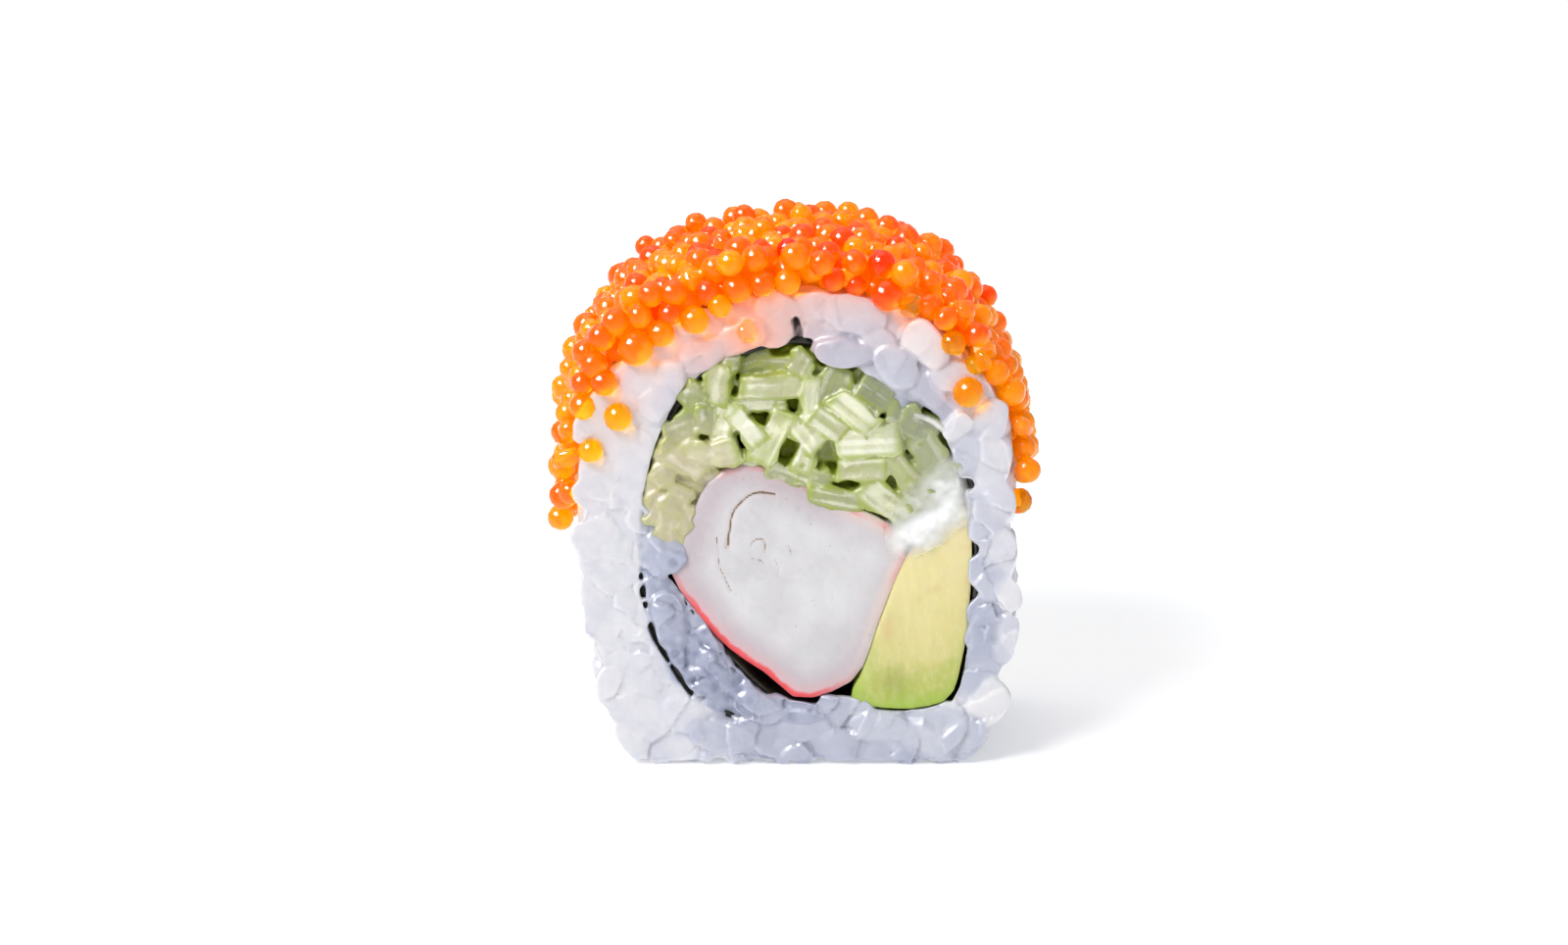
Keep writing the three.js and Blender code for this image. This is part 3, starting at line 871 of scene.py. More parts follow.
def paintNori():
    paint = Paint("nori")
    flakes = paint.noise(0.35 * mm, 3, 0.7)
    fibre = paint.noise(0.2 * mm, 2, 0.6, stretch=(1, 0.3, 1))
    color = paint.mix(paint.span(flakes, 0.35, 0.7), (0.006, 0.007, 0.005), (0.03, 0.03, 0.015))
    bump = paint.bump(flakes + fibre * 0.5, 0.5, 0.1 * mm)
    shader = paint.surface(Base_Color=color, Roughness=0.42, Normal=bump, Coat_Weight=0.3,
                           Coat_Roughness=0.25)
    return paint.done(shader)


def inBox(node, across, up):  # a place on a cut face, as shares of a node's width and height
    low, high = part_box(node)
    return np.array([low.x + (high.x - low.x) * across, low.z + (high.z - low.z) * up])


def lineDistance(flat, line):  # from points to a softly bent line, both on a cut face
    line = np.array(line)
    for _ in range(3):  # rounds its corners
        cut = np.stack([line[:-1] * 0.75 + line[1:] * 0.25, line[:-1] * 0.25 + line[1:] * 0.75], axis=1)
        line = np.vstack([line[:1], cut.reshape(-1, 2), line[-1:]])
    best = np.full(len(flat), 1.0)
    for a, b in zip(line, line[1:]):
        run = b - a
        share = np.clip(((flat - a) @ run) / (run @ run), 0, 1)
        best = np.minimum(best, np.linalg.norm(flat - (a + share[:, None] * run), axis=1))
    return best


crab = {
    "voxel": 0.17 * mm, "smooth": 1, "deep": 1.4, "keep": 0.45, "grow": 0.22 * mm,
    "swell": 0.28 * mm, "back": 0.15 * mm,
    # splits between its rolled layers, painted dark as the shade in them: width and depth in mm, line in
    # shares of its width and height
    "splits": [
        (0.12, 0.14, [(0.235, 0.66), (0.25, 0.79), (0.30, 0.86), (0.37, 0.895), (0.44, 0.88)]),
        (0.06, 0.06, [(0.19, 0.70), (0.195, 0.60), (0.215, 0.52), (0.25, 0.46)]),
        (0.07, 0.08, [(0.335, 0.66), (0.35, 0.685), (0.385, 0.69), (0.40, 0.665), (0.395, 0.635)]),
        (0.06, 0.05, [(0.345, 0.61), (0.375, 0.60), (0.39, 0.58)]),
        (0.05, 0.04, [(0.44, 0.60), (0.455, 0.565), (0.452, 0.53)]),
        (0.05, 0.03, [(0.50, 0.66), (0.515, 0.62)]),
    ],
}


def edgeDepth(node, points):  # how far a point is inside a node's outline on the cut face
    bm = cadCopy(node)
    tree = treeOf(bm)
    flat = [tree.find_nearest(Vector((p[0], 0, p[2])))[3] for p in points]
    bm.free()
    return np.array(flat)


def grow(points, normals, inner, distance):  # widens a filling's side walls, as the real pieces touch
    near = faceShare(points, 3.5, 2)
    rim = 1 - step(inner, 0.1 * mm, 1.2 * mm)
    side = np.stack([normals[:, 0], 0 * rim, normals[:, 2]], axis=1)
    return points + side * (distance * near * np.maximum(rim, 0.2))[:, None]


def makeFilling(name, node, look):  # one filling, its places and how far each is inside the outline
    piece = objectOf(name, meshOf(name, cadCopy(node)))
    remesh(piece, look["voxel"], look["smooth"])
    thin(piece, look["keep"], np.abs(readPoints(piece.data)[:, 1]) < halfDepth - look["deep"] * mm)
    points = readPoints(piece.data)
    inner = edgeDepth(node, points)
    return piece, grow(points, readNormals(piece.data), inner, look["grow"]), inner


def makeCrabStick():
    piece, points, inner = makeFilling("crabStick", "crab_stick", crab)
    mesh = piece.data
    onFace = faceShare(points, 1.0, 0.4)
    flat = points[:, [0, 2]]
    bend = np.stack([0.12 * mm * softNoise(points, 0.9 * mm, seed) for seed in (6, 16)], axis=1)
    sink = np.zeros(len(points))
    beside = np.full(len(points), 9.0)
    for width, depth, line in crab["splits"]:
        shape = np.array([inBox("crab_stick", *place) for place in line])
        away = lineDistance(flat + bend, shape)
        edge = 1 - step(away, width * mm * 0.5, width * mm * 1.5 + 0.1 * mm)
        sink = np.maximum(sink, edge * (depth * mm))
        beside = np.minimum(beside, away / (width * mm))
    beside = np.where(onFace > 0.5, beside, 9)
    swell = crab["swell"] * step(inner, 0, 3.5 * mm) + 0.12 * mm * softNoise(points, 3.2 * mm, 2)
    grainy = 0.035 * mm * softNoise(points, 0.5 * mm, 12)
    points[:, 1] += np.sign(points[:, 1]) * onFace * (swell + grainy - sink - crab["back"])
    writePoints(mesh, points)
    across, up = boxShares("crab_stick", points)
    skinned = (1 - step(up - 0.25 * across, 0.3, 0.62)) * (1 - step(across, 0.55, 0.85))
    top = step(up + 0.62 * across, 1.02, 1.14) * (0.15 + 0.6 * softNoise(points, 1.6 * mm, 9))
    store(mesh, beside=beside, inner=inner / mm, skinned=np.clip(skinned + top, 0, 1),
          right=step(across, 0.62, 0.8) * step(up, 0.0, 0.5))
    return finishPiece(piece, paintCrabStick(), "crab_stick", "crab_stick")


def paintCrabStick():
    paint = Paint("crabStick")
    inner = paint.held("inner")  # mm inside the outline
    beside = paint.held("beside") + paint.noise(0.25 * mm, 2) * 0.8  # from a split, in widths of it
    skinned = paint.held("skinned")
    right = paint.held("right")
    broad = paint.noise(3.6 * mm, 2)
    fine = paint.noise(0.3 * mm, 4, 0.65)
    ragged = inner + (paint.noise(0.9 * mm, 2) - 0.5) * 0.35
    speck = paint.span(paint.cells(1.5 * mm), 0.04, 0.09, 1, 0)
    color = paint.layers(
        paint.mix(paint.span(broad, 0.3, 0.7), (0.71, 0.70, 0.705), (0.63, 0.615, 0.63)),
        (paint.span(fine, 0.5, 0.75) * 0.2, (0.80, 0.79, 0.79)),
        # painted shade: darker pinkish grey within a few mm of the outline, less on the right
        (paint.span(inner, 3.6, 0.6) * (0.85 - right * 0.5), (0.55, 0.48, 0.51)),
        (paint.span(inner, 1.3, 0.1) * right * 0.6, (0.80, 0.63, 0.55)),
        (speck * 0.35, (0.42, 0.33, 0.30)),
        # painted shade beside and in the splits
        (paint.span(beside, 3.8, 1.2) * 0.25, (0.62, 0.50, 0.44)),
        (paint.span(beside, 1.5, 0.9) * 0.95, (0.22, 0.13, 0.07)),
        (paint.span(ragged, 1.7, 0.2) * skinned * 0.55, (0.80, 0.46, 0.48)),
        (paint.span(ragged, 0.5, 0.25) * skinned, (0.82, 0.11, 0.12)),
    )
    rough = paint.span(fine, 0.3, 0.7, 0.35, 0.55)
    bump = paint.bump(fine + speck * -0.6, 0.3, 0.1 * mm)
    return paint.moist(color, rough, bump, (1.0, 0.8, 0.75), 0.3 * mm, 0.08, 0.25, IOR=1.36)


avocado = {
    "voxel": 0.2 * mm, "smooth": 3, "deep": 1.6, "keep": 0.5, "grow": 0.25 * mm,
    "ridges": 0.05 * mm, "dents": 0.22 * mm, "swell": 0.1 * mm,
    "spots": [("olive", (8.9, 7.6), (1.3, 1.0)), ("brown", (8.3, 12.4), (0.6, 1.1))],  # middle, size in mm
}


def makeAvocado():
    piece, points, inner = makeFilling("avocadoSlice", "avocado", avocado)
    mesh = piece.data
    onFace = faceShare(points, 1.3, 0.6)
    rise = avocado["swell"] * step(inner, 0, 2 * mm)
    rise += avocado["ridges"] * softNoise(points * (1, 1, 0.16), 0.55 * mm, 4)
    rise += avocado["dents"] * softNoise(points, 2.6 * mm, 7)
    points[:, 1] += np.sign(points[:, 1]) * onFace * rise
    writePoints(mesh, points)
    store(mesh, height=boxShares("avocado", points)[1], edge=np.exp(-inner / (0.6 * mm)))
    flat = points[:, [0, 2]] + 0.3 * mm * softNoise(points, 0.9 * mm, 5)[:, None]
    for name, place, size in avocado["spots"]:
        away = (flat / mm - place) / size
        store(mesh, **{name: np.exp(-(away ** 2).sum(axis=1)) * (points[:, 1] < 0)})
    return finishPiece(piece, paintAvocado(), "avocado", "avocado")


def paintAvocado():
    paint = Paint("avocado")
    height = paint.held("height")
    edge = paint.held("edge")
    broad = paint.noise(2.6 * mm, 3)
    fibre = paint.noise(0.5 * mm, 3, 0.6, stretch=(1, 1, 0.5))
    color = paint.ramp(
        height + (broad - 0.5) * 0.4,
        (0.0, (0.38, 0.49, 0.08)), (0.1, (0.48, 0.52, 0.13)), (0.24, (0.66, 0.61, 0.26)),
        (0.6, (0.76, 0.68, 0.34)), (1.0, (0.80, 0.71, 0.42)),
    )
    stain = paint.span(paint.noise(2.4 * mm, 1), 0.6, 0.8)
    color = paint.layers(
        color,
        (paint.span(fibre, 0.4, 0.75) * 0.25, (0.84, 0.78, 0.52)),
        (stain * 0.45 * paint.span(height, 0.3, 0.5), (0.66, 0.46, 0.24)),
        (edge * paint.span(height, 0.5, 0.0) * 0.7, (0.36, 0.54, 0.06)),
        (paint.held("olive") * 0.6, (0.42, 0.42, 0.12)),
        (paint.held("brown") * 0.5, (0.68, 0.47, 0.26)),
    )
    rough = paint.span(fibre, 0.3, 0.7, 0.36, 0.5)
    bump = paint.bump(fibre, 0.25, 0.1 * mm)
    return paint.moist(color, rough, bump, (1.0, 0.8, 0.35), 0.4 * mm, 0.08, 0.25, IOR=1.38)


mayonnaise = {  # a smear over the face, along lines through x and z in mm, with its width and cover
    "lines": [
        ([(9.9, 20.9), (11.0, 21.5), (12.3, 22.4), (13.8, 23.6)], 2.2 * mm, 0.95),
        ([(12.8, 23.4), (13.2, 25.2)], 2.1 * mm, 0.65),
        ([(9.9, 22.8), (11.8, 24.6), (13.4, 26.8)], 1.9 * mm, 0.42),
        ([(10.8, 31.8), (12.2, 31.3), (13.2, 30.4)], 0.4 * mm, 0.5),
    ],
    "middle": (11 * mm, 25 * mm), "reach": 7 * mm, "cells": 90,
    "lift": 0.12 * mm, "stands": 0.22 * mm, "behind": 0.3 * mm,
}


def smeared(points):  # how thickly the smear covers a place on the face, 0 to 1
    flat = points[:, [0, 2]]
    bend = np.stack([0.5 * mm * softNoise(points, 1.9 * mm, seed) for seed in (11, 31)], axis=1)
    cover = np.zeros(len(points))
    for line, width, most in mayonnaise["lines"]:
        shape = [np.array(place) * mm for place in line]
        away = lineDistance(flat + bend * min(1, width / mm - 0.2), shape) / width
        cover = np.maximum(cover, (1 - step(away, 0.0, 1.15)) * most)
    return cover


def makeMayonnaise():
    joined = cadCopy("mayonnaise")
    cells, middle = mayonnaise["cells"], mayonnaise["middle"]
    for side in (-1, 1):
        sheet = bmesh.new()
        bmesh.ops.create_grid(sheet, x_segments=cells, y_segments=cells, size=mayonnaise["reach"])
        for v in sheet.verts:
            v.co = (v.co.x + middle[0], 0, v.co.y + middle[1])
        cover = smeared(np.array([v.co for v in sheet.verts]))
        for v, share in zip(sheet.verts, cover):
            v.co.y = side * (halfDepth + mayonnaise["lift"] + mayonnaise["stands"] * share)
        bare = [v for v, share in zip(sheet.verts, cover) if share < 0.01]
        bmesh.ops.delete(sheet, geom=bare, context="VERTS")
        bmesh.ops.recalc_face_normals(sheet, faces=sheet.faces)
        if sheet.faces[:][0].normal.y * side < 0:
            bmesh.ops.reverse_faces(sheet, faces=sheet.faces)
        bmesh.ops.solidify(sheet, geom=sheet.faces[:], thickness=mayonnaise["behind"])
        part = meshOf("sheet", sheet)
        joined.from_mesh(part)
        bpy.data.meshes.remove(part)
    bmesh.ops.recalc_face_normals(joined, faces=joined.faces)
    piece = objectOf("mayonnaiseSmear", meshOf("mayonnaiseSmear", joined))
    points = readPoints(piece.data)
    streaks = 1 + 0.25 * softNoise(points, 0.8 * mm, 4) + 0.15 * softNoise(points, 0.4 * mm, 2)
    cover = np.clip(smeared(points) * streaks, 0, 1)
    store(piece.data, cover=np.where(np.abs(points[:, 1]) > halfDepth - 0.4 * mm, cover, 1))
    return finishPiece(piece, paintMayonnaise(), "mayonnaise", "mayonnaise")


def paintMayonnaise():
    paint = Paint("mayonnaise")
    fine = paint.noise(0.7 * mm, 3)
    color = paint.mix(fine, (0.88, 0.89, 0.87), (0.93, 0.94, 0.92))
    bump = paint.bump(fine, 0.15, 0.1 * mm)
    return paint.moist(color, 0.42, bump, (1, 1, 0.9), 0.2 * mm, 0.15, 0.2, Alpha=paint.held("cover"))


stick = {
    "thick": 1.9 * mm, "length": (3.6 * mm, 6.5 * mm), "bevel": 0.26 * mm, "spacing": 2.1 * mm,
    "layers": (0.1 * mm, 1.9 * mm, 3.6 * mm),  # how deep the sticks of each layer lie
    "relief": 1.7,  # how much more than listed the shown sticks stand out
    "shortest": 1.1 * mm, "tries": 900, "voxel": 0.18 * mm, "heart": 4.4 * mm,
}
# Sticks on the shown face: x, z, length, width in mm, turn in degrees, rise in mm, paleness.
shownSticks = [
    (-1.8, 34.3, 6.0, 2.1, 2, 0, 0.75), (-2.9, 32.7, 4.8, 1.4, -2, -0.25, 0.6),
    (-6.5, 34.6, 3.8, 2.2, 84, 0.05, 0.6), (-8.9, 33.7, 2.4, 2.2, 40, 0, 0.45),
    (-7.8, 31.4, 2.7, 1.9, 85, 0.1, 0.45), (-6.0, 31.3, 3.4, 1.7, 78, 0, 0.95),
    (-4.1, 30.6, 3.8, 1.9, -48, 0.15, 0.85), (-1.8, 29.7, 5.3, 2.2, 62, 0.2, 0.85),
    (-9.8, 30.6, 3.3, 2.4, 20, -0.1, 0.35), (-7.1, 28.4, 4.8, 2.6, 10, 0.15, 0.8),
    (-9.5, 27.3, 3.9, 2.1, -30, 0.1, 0.6), (-11.5, 26.3, 2.1, 1.9, 35, 0.1, 0.4),
    (1.4, 33.2, 4.3, 1.5, 85, 0.1, 0.85), (3.5, 34.2, 3.8, 2.6, 70, -0.15, 0.3),
    (3.0, 30.9, 3.4, 2.1, -35, 0.25, 0.7), (5.3, 32.0, 4.6, 2.2, -38, 0.3, 0.9),
    (6.5, 29.5, 6.0, 2.7, 3, 0.25, 0.95), (6.0, 26.9, 4.5, 2.2, 2, 0.15, 0.7),
    (1.2, 30.0, 3.3, 2.1, -50, 0.2, 0.85), (1.1, 28.4, 3.8, 1.9, 75, 0.1, 0.8),
    (11.0, 30.7, 3.8, 2.6, -30, -0.05, 0.2), (7.1, 33.7, 3.4, 2.4, -35, -0.1, 0.2),
    (9.3, 31.3, 2.6, 2.1, -30, -0.1, 0.25), (9.8, 26.5, 5.7, 2.6, -50, 0, 0.65),
    (12.0, 28.1, 4.3, 2.6, -60, -0.05, 0.5), (8.2, 24.0, 5.1, 2.6, -40, 0.05, 0.55),
    (-0.8, 36.0, 5.1, 2.1, 0, -0.5, 0.3), (-3.4, 36.3, 3.4, 1.9, 20, -0.6, 0.2),
    (-5.6, 36.2, 2.1, 1.7, 0, -0.2, 0.2), (0.7, 36.3, 2.4, 2.1, 60, -0.1, 0.5),
    (-11.8, 23.3, 3.4, 2.2, 75, -0.1, 0.35), (-10.3, 24.2, 2.9, 2.1, 60, 0, 0.5),
    (-11.1, 21.6, 3.0, 2.2, 80, -0.05, 0.55), (-9.4, 22.4, 2.6, 1.5, 70, -0.1, 0.5),
    (3.6, 24.4, 4.8, 1.9, -12, 0, 0.5), (-0.8, 26.5, 3.9, 1.9, -20, -0.1, 0.4),
    (-4.4, 27.9, 3.1, 1.5, -10, -0.2, 0.4), (1.8, 26.2, 3.1, 1.9, -20, 0, 0.45),
    (11.2, 24.6, 3.8, 2.2, -30, 0, 0.5), (13.4, 26.3, 3.1, 1.9, 70, -0.1, 0.45),
    (-11.8, 23.1, 5.6, 3.0, 84, -0.35, 0.5), (-10.4, 21.2, 5.6, 2.6, 70, -0.4, 0.45),
    (-11.6, 27.2, 5.5, 2.6, 62, -0.4, 0.5), (-8.6, 26.2, 5.0, 2.4, -20, -0.4, 0.5),
    (3.6, 29.0, 3.4, 2.1, 80, -0.7, 0.3), (-11.1, 28.4, 2.6, 1.9, 50, -0.1, 0.4),
]


def stickShape(sizes, bend, dice):  # a cut stick with softened edges, along X
    bm = bmesh.new()
    bmesh.ops.create_cube(bm, size=1)
    long = [e for e in bm.edges if abs(e.verts[0].co.x - e.verts[1].co.x) > 0.5]
    bmesh.ops.subdivide_edges(bm, edges=long, cuts=4, use_grid_fill=True)
    bmesh.ops.scale(bm, vec=sizes, verts=bm.verts)
    skew = dice.uniform(-0.35, 0.35)  # the ends aren't cut square
    for v in bm.verts:
        share = v.co.x / sizes[0]
        v.co.z += bend * (share * share - 0.1) + dice.uniform(-0.06, 0.06) * mm
        v.co.y *= 1 + 0.12 * math.sin(9 * share + skew * 8)
        v.co.y += dice.uniform(-0.06, 0.06) * mm
        v.co.x += v.co.y * skew + dice.uniform(-0.15, 0.15) * mm
    sharp = [e for e in bm.edges if e.calc_face_angle(0) > math.radians(50)]
    bmesh.ops.bevel(bm, geom=sharp, offset=stick["bevel"], segments=2, profile=0.5,
                    affect="EDGES", material=-1)
    return bm


def laySticks(room, dice):  # as (centre, along, up, sizes, paleness)
    low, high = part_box("cucumber")

    def isInside(x, z):
        return room.ray_cast(Vector((x, -0.05, z)), yAxis)[0] is not None

    sticks = []
    for x, z, length, width, turn, rise, pale in shownSticks:
        thick = stick["thick"] * dice.uniform(0.9, 1.1)
        turn = math.radians(turn)
        along = Vector((math.cos(turn), dice.uniform(-0.12, 0.12), math.sin(turn)))
        up = Vector((dice.uniform(-0.2, 0.2), -1, dice.uniform(-0.2, 0.2)))
        front = halfDepth + rise * stick["relief"] * mm
        centre = Vector((x * mm, thick / 2 - front, z * mm))
        sticks.append((centre, along, up, (length * mm, width * mm, thick), pale))
    for side, layer in ((-1, 1), (-1, 2), (1, 0), (1, 1), (1, 2)):
        taken = np.empty((0, 2))
        for _ in range(stick["tries"]):
            x, z = dice.uniform(low.x, high.x), dice.uniform(low.z, high.z)
            spacing = stick["spacing"] * dice.uniform(0.85, 1.3)
            if len(taken) and np.min(np.linalg.norm(taken - (x, z), axis=1)) < spacing:
                continue
            turn, lean = dice.uniform(0, math.pi), dice.uniform(-0.5, 0.5)
            reach = dice.uniform(*stick["length"]) / 2
            flat = Vector((math.cos(turn), 0, math.sin(turn)))
            while reach > stick["shortest"] and not all(
                isInside(x + flat.x * reach * way, z + flat.z * reach * way) for way in (-1, 0, 1)
            ):
                reach *= 0.8
            if reach <= stick["shortest"]:
                continue
            taken = np.vstack([taken, (x, z)])
            along = flat * math.cos(lean) + yAxis * math.sin(lean)
            thick = stick["thick"] * dice.uniform(0.8, 1.15)
            wide = stick["thick"] * dice.uniform(0.9, 1.4)
            depth = halfDepth - thick / 2 - stick["layers"][layer] - dice.uniform(-0.4, 0.4) * mm
            up = Vector((dice.uniform(-0.4, 0.4), side, dice.uniform(-0.4, 0.4)))
            # sticks under the first layer are painted less pale, painted shade
            pale = dice.uniform(0.2, 0.95) * (1 if layer == 0 else 0.6)
            sticks.append((Vector((x, side * depth, z)), along, up, (reach * 2, wide, thick), pale))
    return sticks


def joinSticks(sticks, dice):  # the sticks as one closed mesh, and the place and size of each
    joined = bmesh.new()
    places = []
    for centre, along, up, sizes, _ in sticks:
        shape = stickShape(sizes, dice.uniform(-0.4, 0.4) * mm, dice)
        along = along.normalized()
        shape.transform(placed(centre, along, up, (1, 1, 1)))
        places.append(placed(centre, along, up, [size / 2 for size in sizes]))
        part = meshOf("stick", shape)
        joined.from_mesh(part)
        bpy.data.meshes.remove(part)
    piece = objectOf("cucumberSticks", meshOf("cucumberSticks", joined))
    remesh(piece, stick["voxel"], smooth=1)
    points = readPoints(piece.data)
    mush = 0.07 * mm * softNoise(points, 0.8 * mm, 4) + 0.04 * mm * softNoise(points, 0.4 * mm, 2)
    points += readNormals(piece.data) * mush[:, None]
    writePoints(piece.data, points)
    thin(piece, 0.3, np.abs(points[:, 1]) < halfDepth - 3.6 * mm)
    return piece, places


def tintSticks(mesh, sticks, places):  # stores what the cucumber's material goes by
    points = readPoints(mesh)
    near, within = nearShapes(places, 0.7, points, 8)
    reach = np.sort(np.abs(within), axis=2)  # places within each stick, 1 at its faces
    best = reach[:, :, 2].argmin(axis=1)
    rows = np.arange(len(points))
    nearest = near[rows, best]
    lengthwise = within[rows, best] * (0.35, 2.6, 2.6) + nearest[:, None] * (0, 3.7, 0)
    across, height = boxShares("cucumber", points)
    left = step(0.34 - across + 0.06 * softNoise(points, 1.5 * mm, 2), 0, 0.2)
    store(
        mesh, streak=softNoise(lengthwise, 0.8, 7), pale=np.array([s[4] for s in sticks])[nearest],
        left=left * step(points[:, 2], 33 * mm, 27 * mm),
        # edge and side mark the sticks' long edges and side faces, where painted shade goes
        right=step(across + height * 0.4, 0.95, 1.1), edge=step(reach[rows, best, 1], 0.68, 0.98),
        deep=(halfDepth - np.abs(points[:, 1])) / mm,
        side=1 - step(np.abs(readNormals(mesh)[:, 1]), 0.35, 0.85),
    )


def makeCucumber():
    dice = random.Random(21)
    sticks = laySticks(treeOf(cadCopy("cucumber")), dice)
    print(f"cucumber: {len(sticks)} sticks")
    piece, places = joinSticks(sticks, dice)
    tintSticks(piece.data, sticks, places)
    finishPiece(piece, paintCucumber(), "cucumber", "cucumber")

    # a dark green body behind the sticks, painted shade for the depths between them
    core = cadCopy("cucumber")
    for v in core.verts:
        v.co.y *= (halfDepth - stick["heart"]) / halfDepth
    heart = objectOf("cucumberShadeCore", meshOf("cucumberShadeCore", core))
    remesh(heart, 0.5 * mm, smooth=1)
    return finishPiece(heart, paintCucumberShadeCore(), "cucumber")


def paintCucumber():
    paint = Paint("cucumber")
    pale = paint.held("pale")
    deep = paint.held("deep")  # mm behind the cut face, where painted shade deepens
    fibre = paint.noise(0.3 * mm, 4, 0.65)
    broad = paint.noise(1.6 * mm, 2)
    color = paint.ramp(
        pale + (broad - 0.5) * 0.5,
        (0.0, (0.25, 0.27, 0.17)), (0.35, (0.36, 0.38, 0.20)), (0.65, (0.48, 0.49, 0.28)),
        (0.95, (0.70, 0.71, 0.50)),
    )
    streak = paint.held("streak") + (fibre - 0.5) * 0.8
    color = paint.layers(
        color,
        (paint.span(streak, -0.1, 0.6) * (0.3 + pale * 0.5), (0.86, 0.86, 0.72)),
        (paint.span(streak, -0.1, -0.7) * 0.4, (0.40, 0.46, 0.13)),
        # painted shade on the sticks' long edges and side faces
        (paint.held("edge") * 0.75, (0.35, 0.42, 0.05)),
        (paint.held("side") * 0.8, (0.32, 0.40, 0.03)),
        (paint.held("left") * 0.55, (0.66, 0.57, 0.42)),
        (paint.held("right") * 0.5, (0.33, 0.36, 0.25)),
        # painted shade, darker the further behind the cut face
        (paint.span(deep, 0.6, 2.0) * 0.9, (0.33, 0.38, 0.01)),
        (paint.span(deep, 2.6, 4.2), (0.13, 0.09, 0.01)),
    )
    rough = paint.span(fibre, 0.3, 0.7, 0.32, 0.5)
    bump = paint.bump(fibre + broad, 0.45, 0.14 * mm)
    return paint.moist(color, rough, bump, (0.8, 1.0, 0.35), 0.25 * mm, 0.08, 0.15, IOR=1.36)


def paintCucumberShadeCore():
    paint = Paint("cucumberShadeCore")
    broad = paint.noise(1.5 * mm, 2)
    # painted shade: dark green
    color = paint.mix(broad, (0.07, 0.07, 0.01), (0.16, 0.18, 0.03))
    shader = paint.surface(Base_Color=color, Roughness=0.4, Normal=paint.bump(broad, 0.5, 0.3 * mm))
    return paint.done(shader)


roe = {
    "radius": (1.0 * mm, 1.36 * mm), "spacing": 1.78 * mm,
    "sideEnd": (21 * mm, 23.5 * mm), "thinOut": 14 * mm,  # height where it ends, left and right
    "gelShare": 0.86, "gelVoxel": 0.45 * mm, "burst": 0.05, "tries": 24000, "rounds": 50,
    "mostMove": 0.4 * mm, "squeeze": (1.1, 0.85, 0.55),  # an empty skin's shape
    "heap": 0.9 * mm,  # how far the eggs of the crown and its left shoulder stand over the plain solid
    "glowWay": (0.5, -0.35, -0.8),  # the lamp's light gathers on this side of every egg
}
# Eggs seen one by one at the edges: x, y, z, radius in mm, redness, or -1 for an empty skin.
shownEggs = [
    (-15.3, -12.6, 31.8, 1.29, 0.1), (-17.7, -12.2, 28.7, 1.12, 0.05), (15.2, -12.7, 34.0, 1.42, 0.25),
    (-13.7, -12.4, 37.9, 1.7, 0.35), (7.7, -11, 45.0, 1.37, 0.8), (8.1, -12.6, 42.6, 1.46, 0.7),
    (-0.4, -8, 45.7, 1.12, 0.95), (13.9, -12.2, 38.3, 1.2, 0.15), (15.8, -11.6, 36.2, 0.94, 0.1),
    (13.2, -12.3, 40.5, 1.12, 0.5), (-20.4, -9, 26.6, 1.29, 0.1),
    (-20.3, -9, 23.9, 1.29, 0.3), (-20.6, -7, 21.4, 1.2, 0.15), (-19.6, -10.8, 24.6, 1.12, 0.1),
    (-20.2, -8, 29.4, 1.2, 0.25), (-19.6, -10.8, 30.2, 1.03, 0.2), (19.5, -8, 32.5, 1.29, 0.35),
    (19.2, -6, 34.2, 1.2, 0.2), (19.6, -6, 29.6, 1.03, 0.2), (19.6, -5, 27, 1.12, 0.25),
    (20.0, -7, 22.9, 1.2, 0.35), (18.7, -9, 35.6, 1.03, 0.3), (1.6, -10.5, 44.6, 1.25, 0.1),
    (-10.7, -12.3, 40.9, 1.1, 0.35), (-8.6, -12.4, 40.4, 1.3, 0.15), (-11.5, -12.4, 39.2, 1.25, 0.3),
    (-15.5, -11.8, 40.1, 1.3, 0.5), (-16.5, -12.3, 34.8, 1.25, 0.4), (-18.4, -11.5, 34.6, 1.1, 0.3),
    (-18.4, -11.5, 32.5, 1.25, 0.15), (-16.7, -11.6, 38.7, 1.3, 0.3), (-18.1, -11.2, 37.2, 1.25, 0.4),
    (-10.4, -11.8, 42.7, 1.25, 0.4), (-4.9, -12, 43.1, 1.35, 0.5), (-6.4, -12.2, 41.6, 1.1, 0.05),
    (-17.4, -11.9, 36.3, 1.3, 0.35), (-13.4, -12, 40.7, 1.2, 0.3), (-12.4, -11.6, 42.5, 1.2, 0.5),
    (-7.5, -11.8, 42.7, 1.2, 0.5), (-2.7, -12, 43.5, 1.2, 0.3), (-0.5, -12.1, 43.7, 1.2, 0.2),
    (-4.2, -12.5, 41.4, 1.2, -1), (11.1, -11.5, 43.2, 1.2, -1),
    (16, -11.8, 42.4, 1.1, -1), (17.3, -12.2, 37.3, 1.1, -1), (18.1, -11.6, 38.8, 1.0, -1),
    (-6.4, -4, 46.2, 1.3, -1),
]


def eggShape():
    bm = bmesh.new()
    bmesh.ops.create_cube(bm, size=2)
    bmesh.ops.subdivide_edges(bm, edges=bm.edges, cuts=2, use_grid_fill=True)
    for v in bm.verts:
        v.co.normalize()
    return bm


def roeRoom(ring, crown, angles):  # how thick the roe lies round the roll
    plain = np.interp(angles, crown["angles"], crown["radius"]) - np.interp(
        angles, ring["angles"], ring["radius"])
    heaped = step(np.degrees(angles), 15, 50) * (1 - step(np.degrees(angles), 150, 172))
    return plain + roe["heap"] * heaped


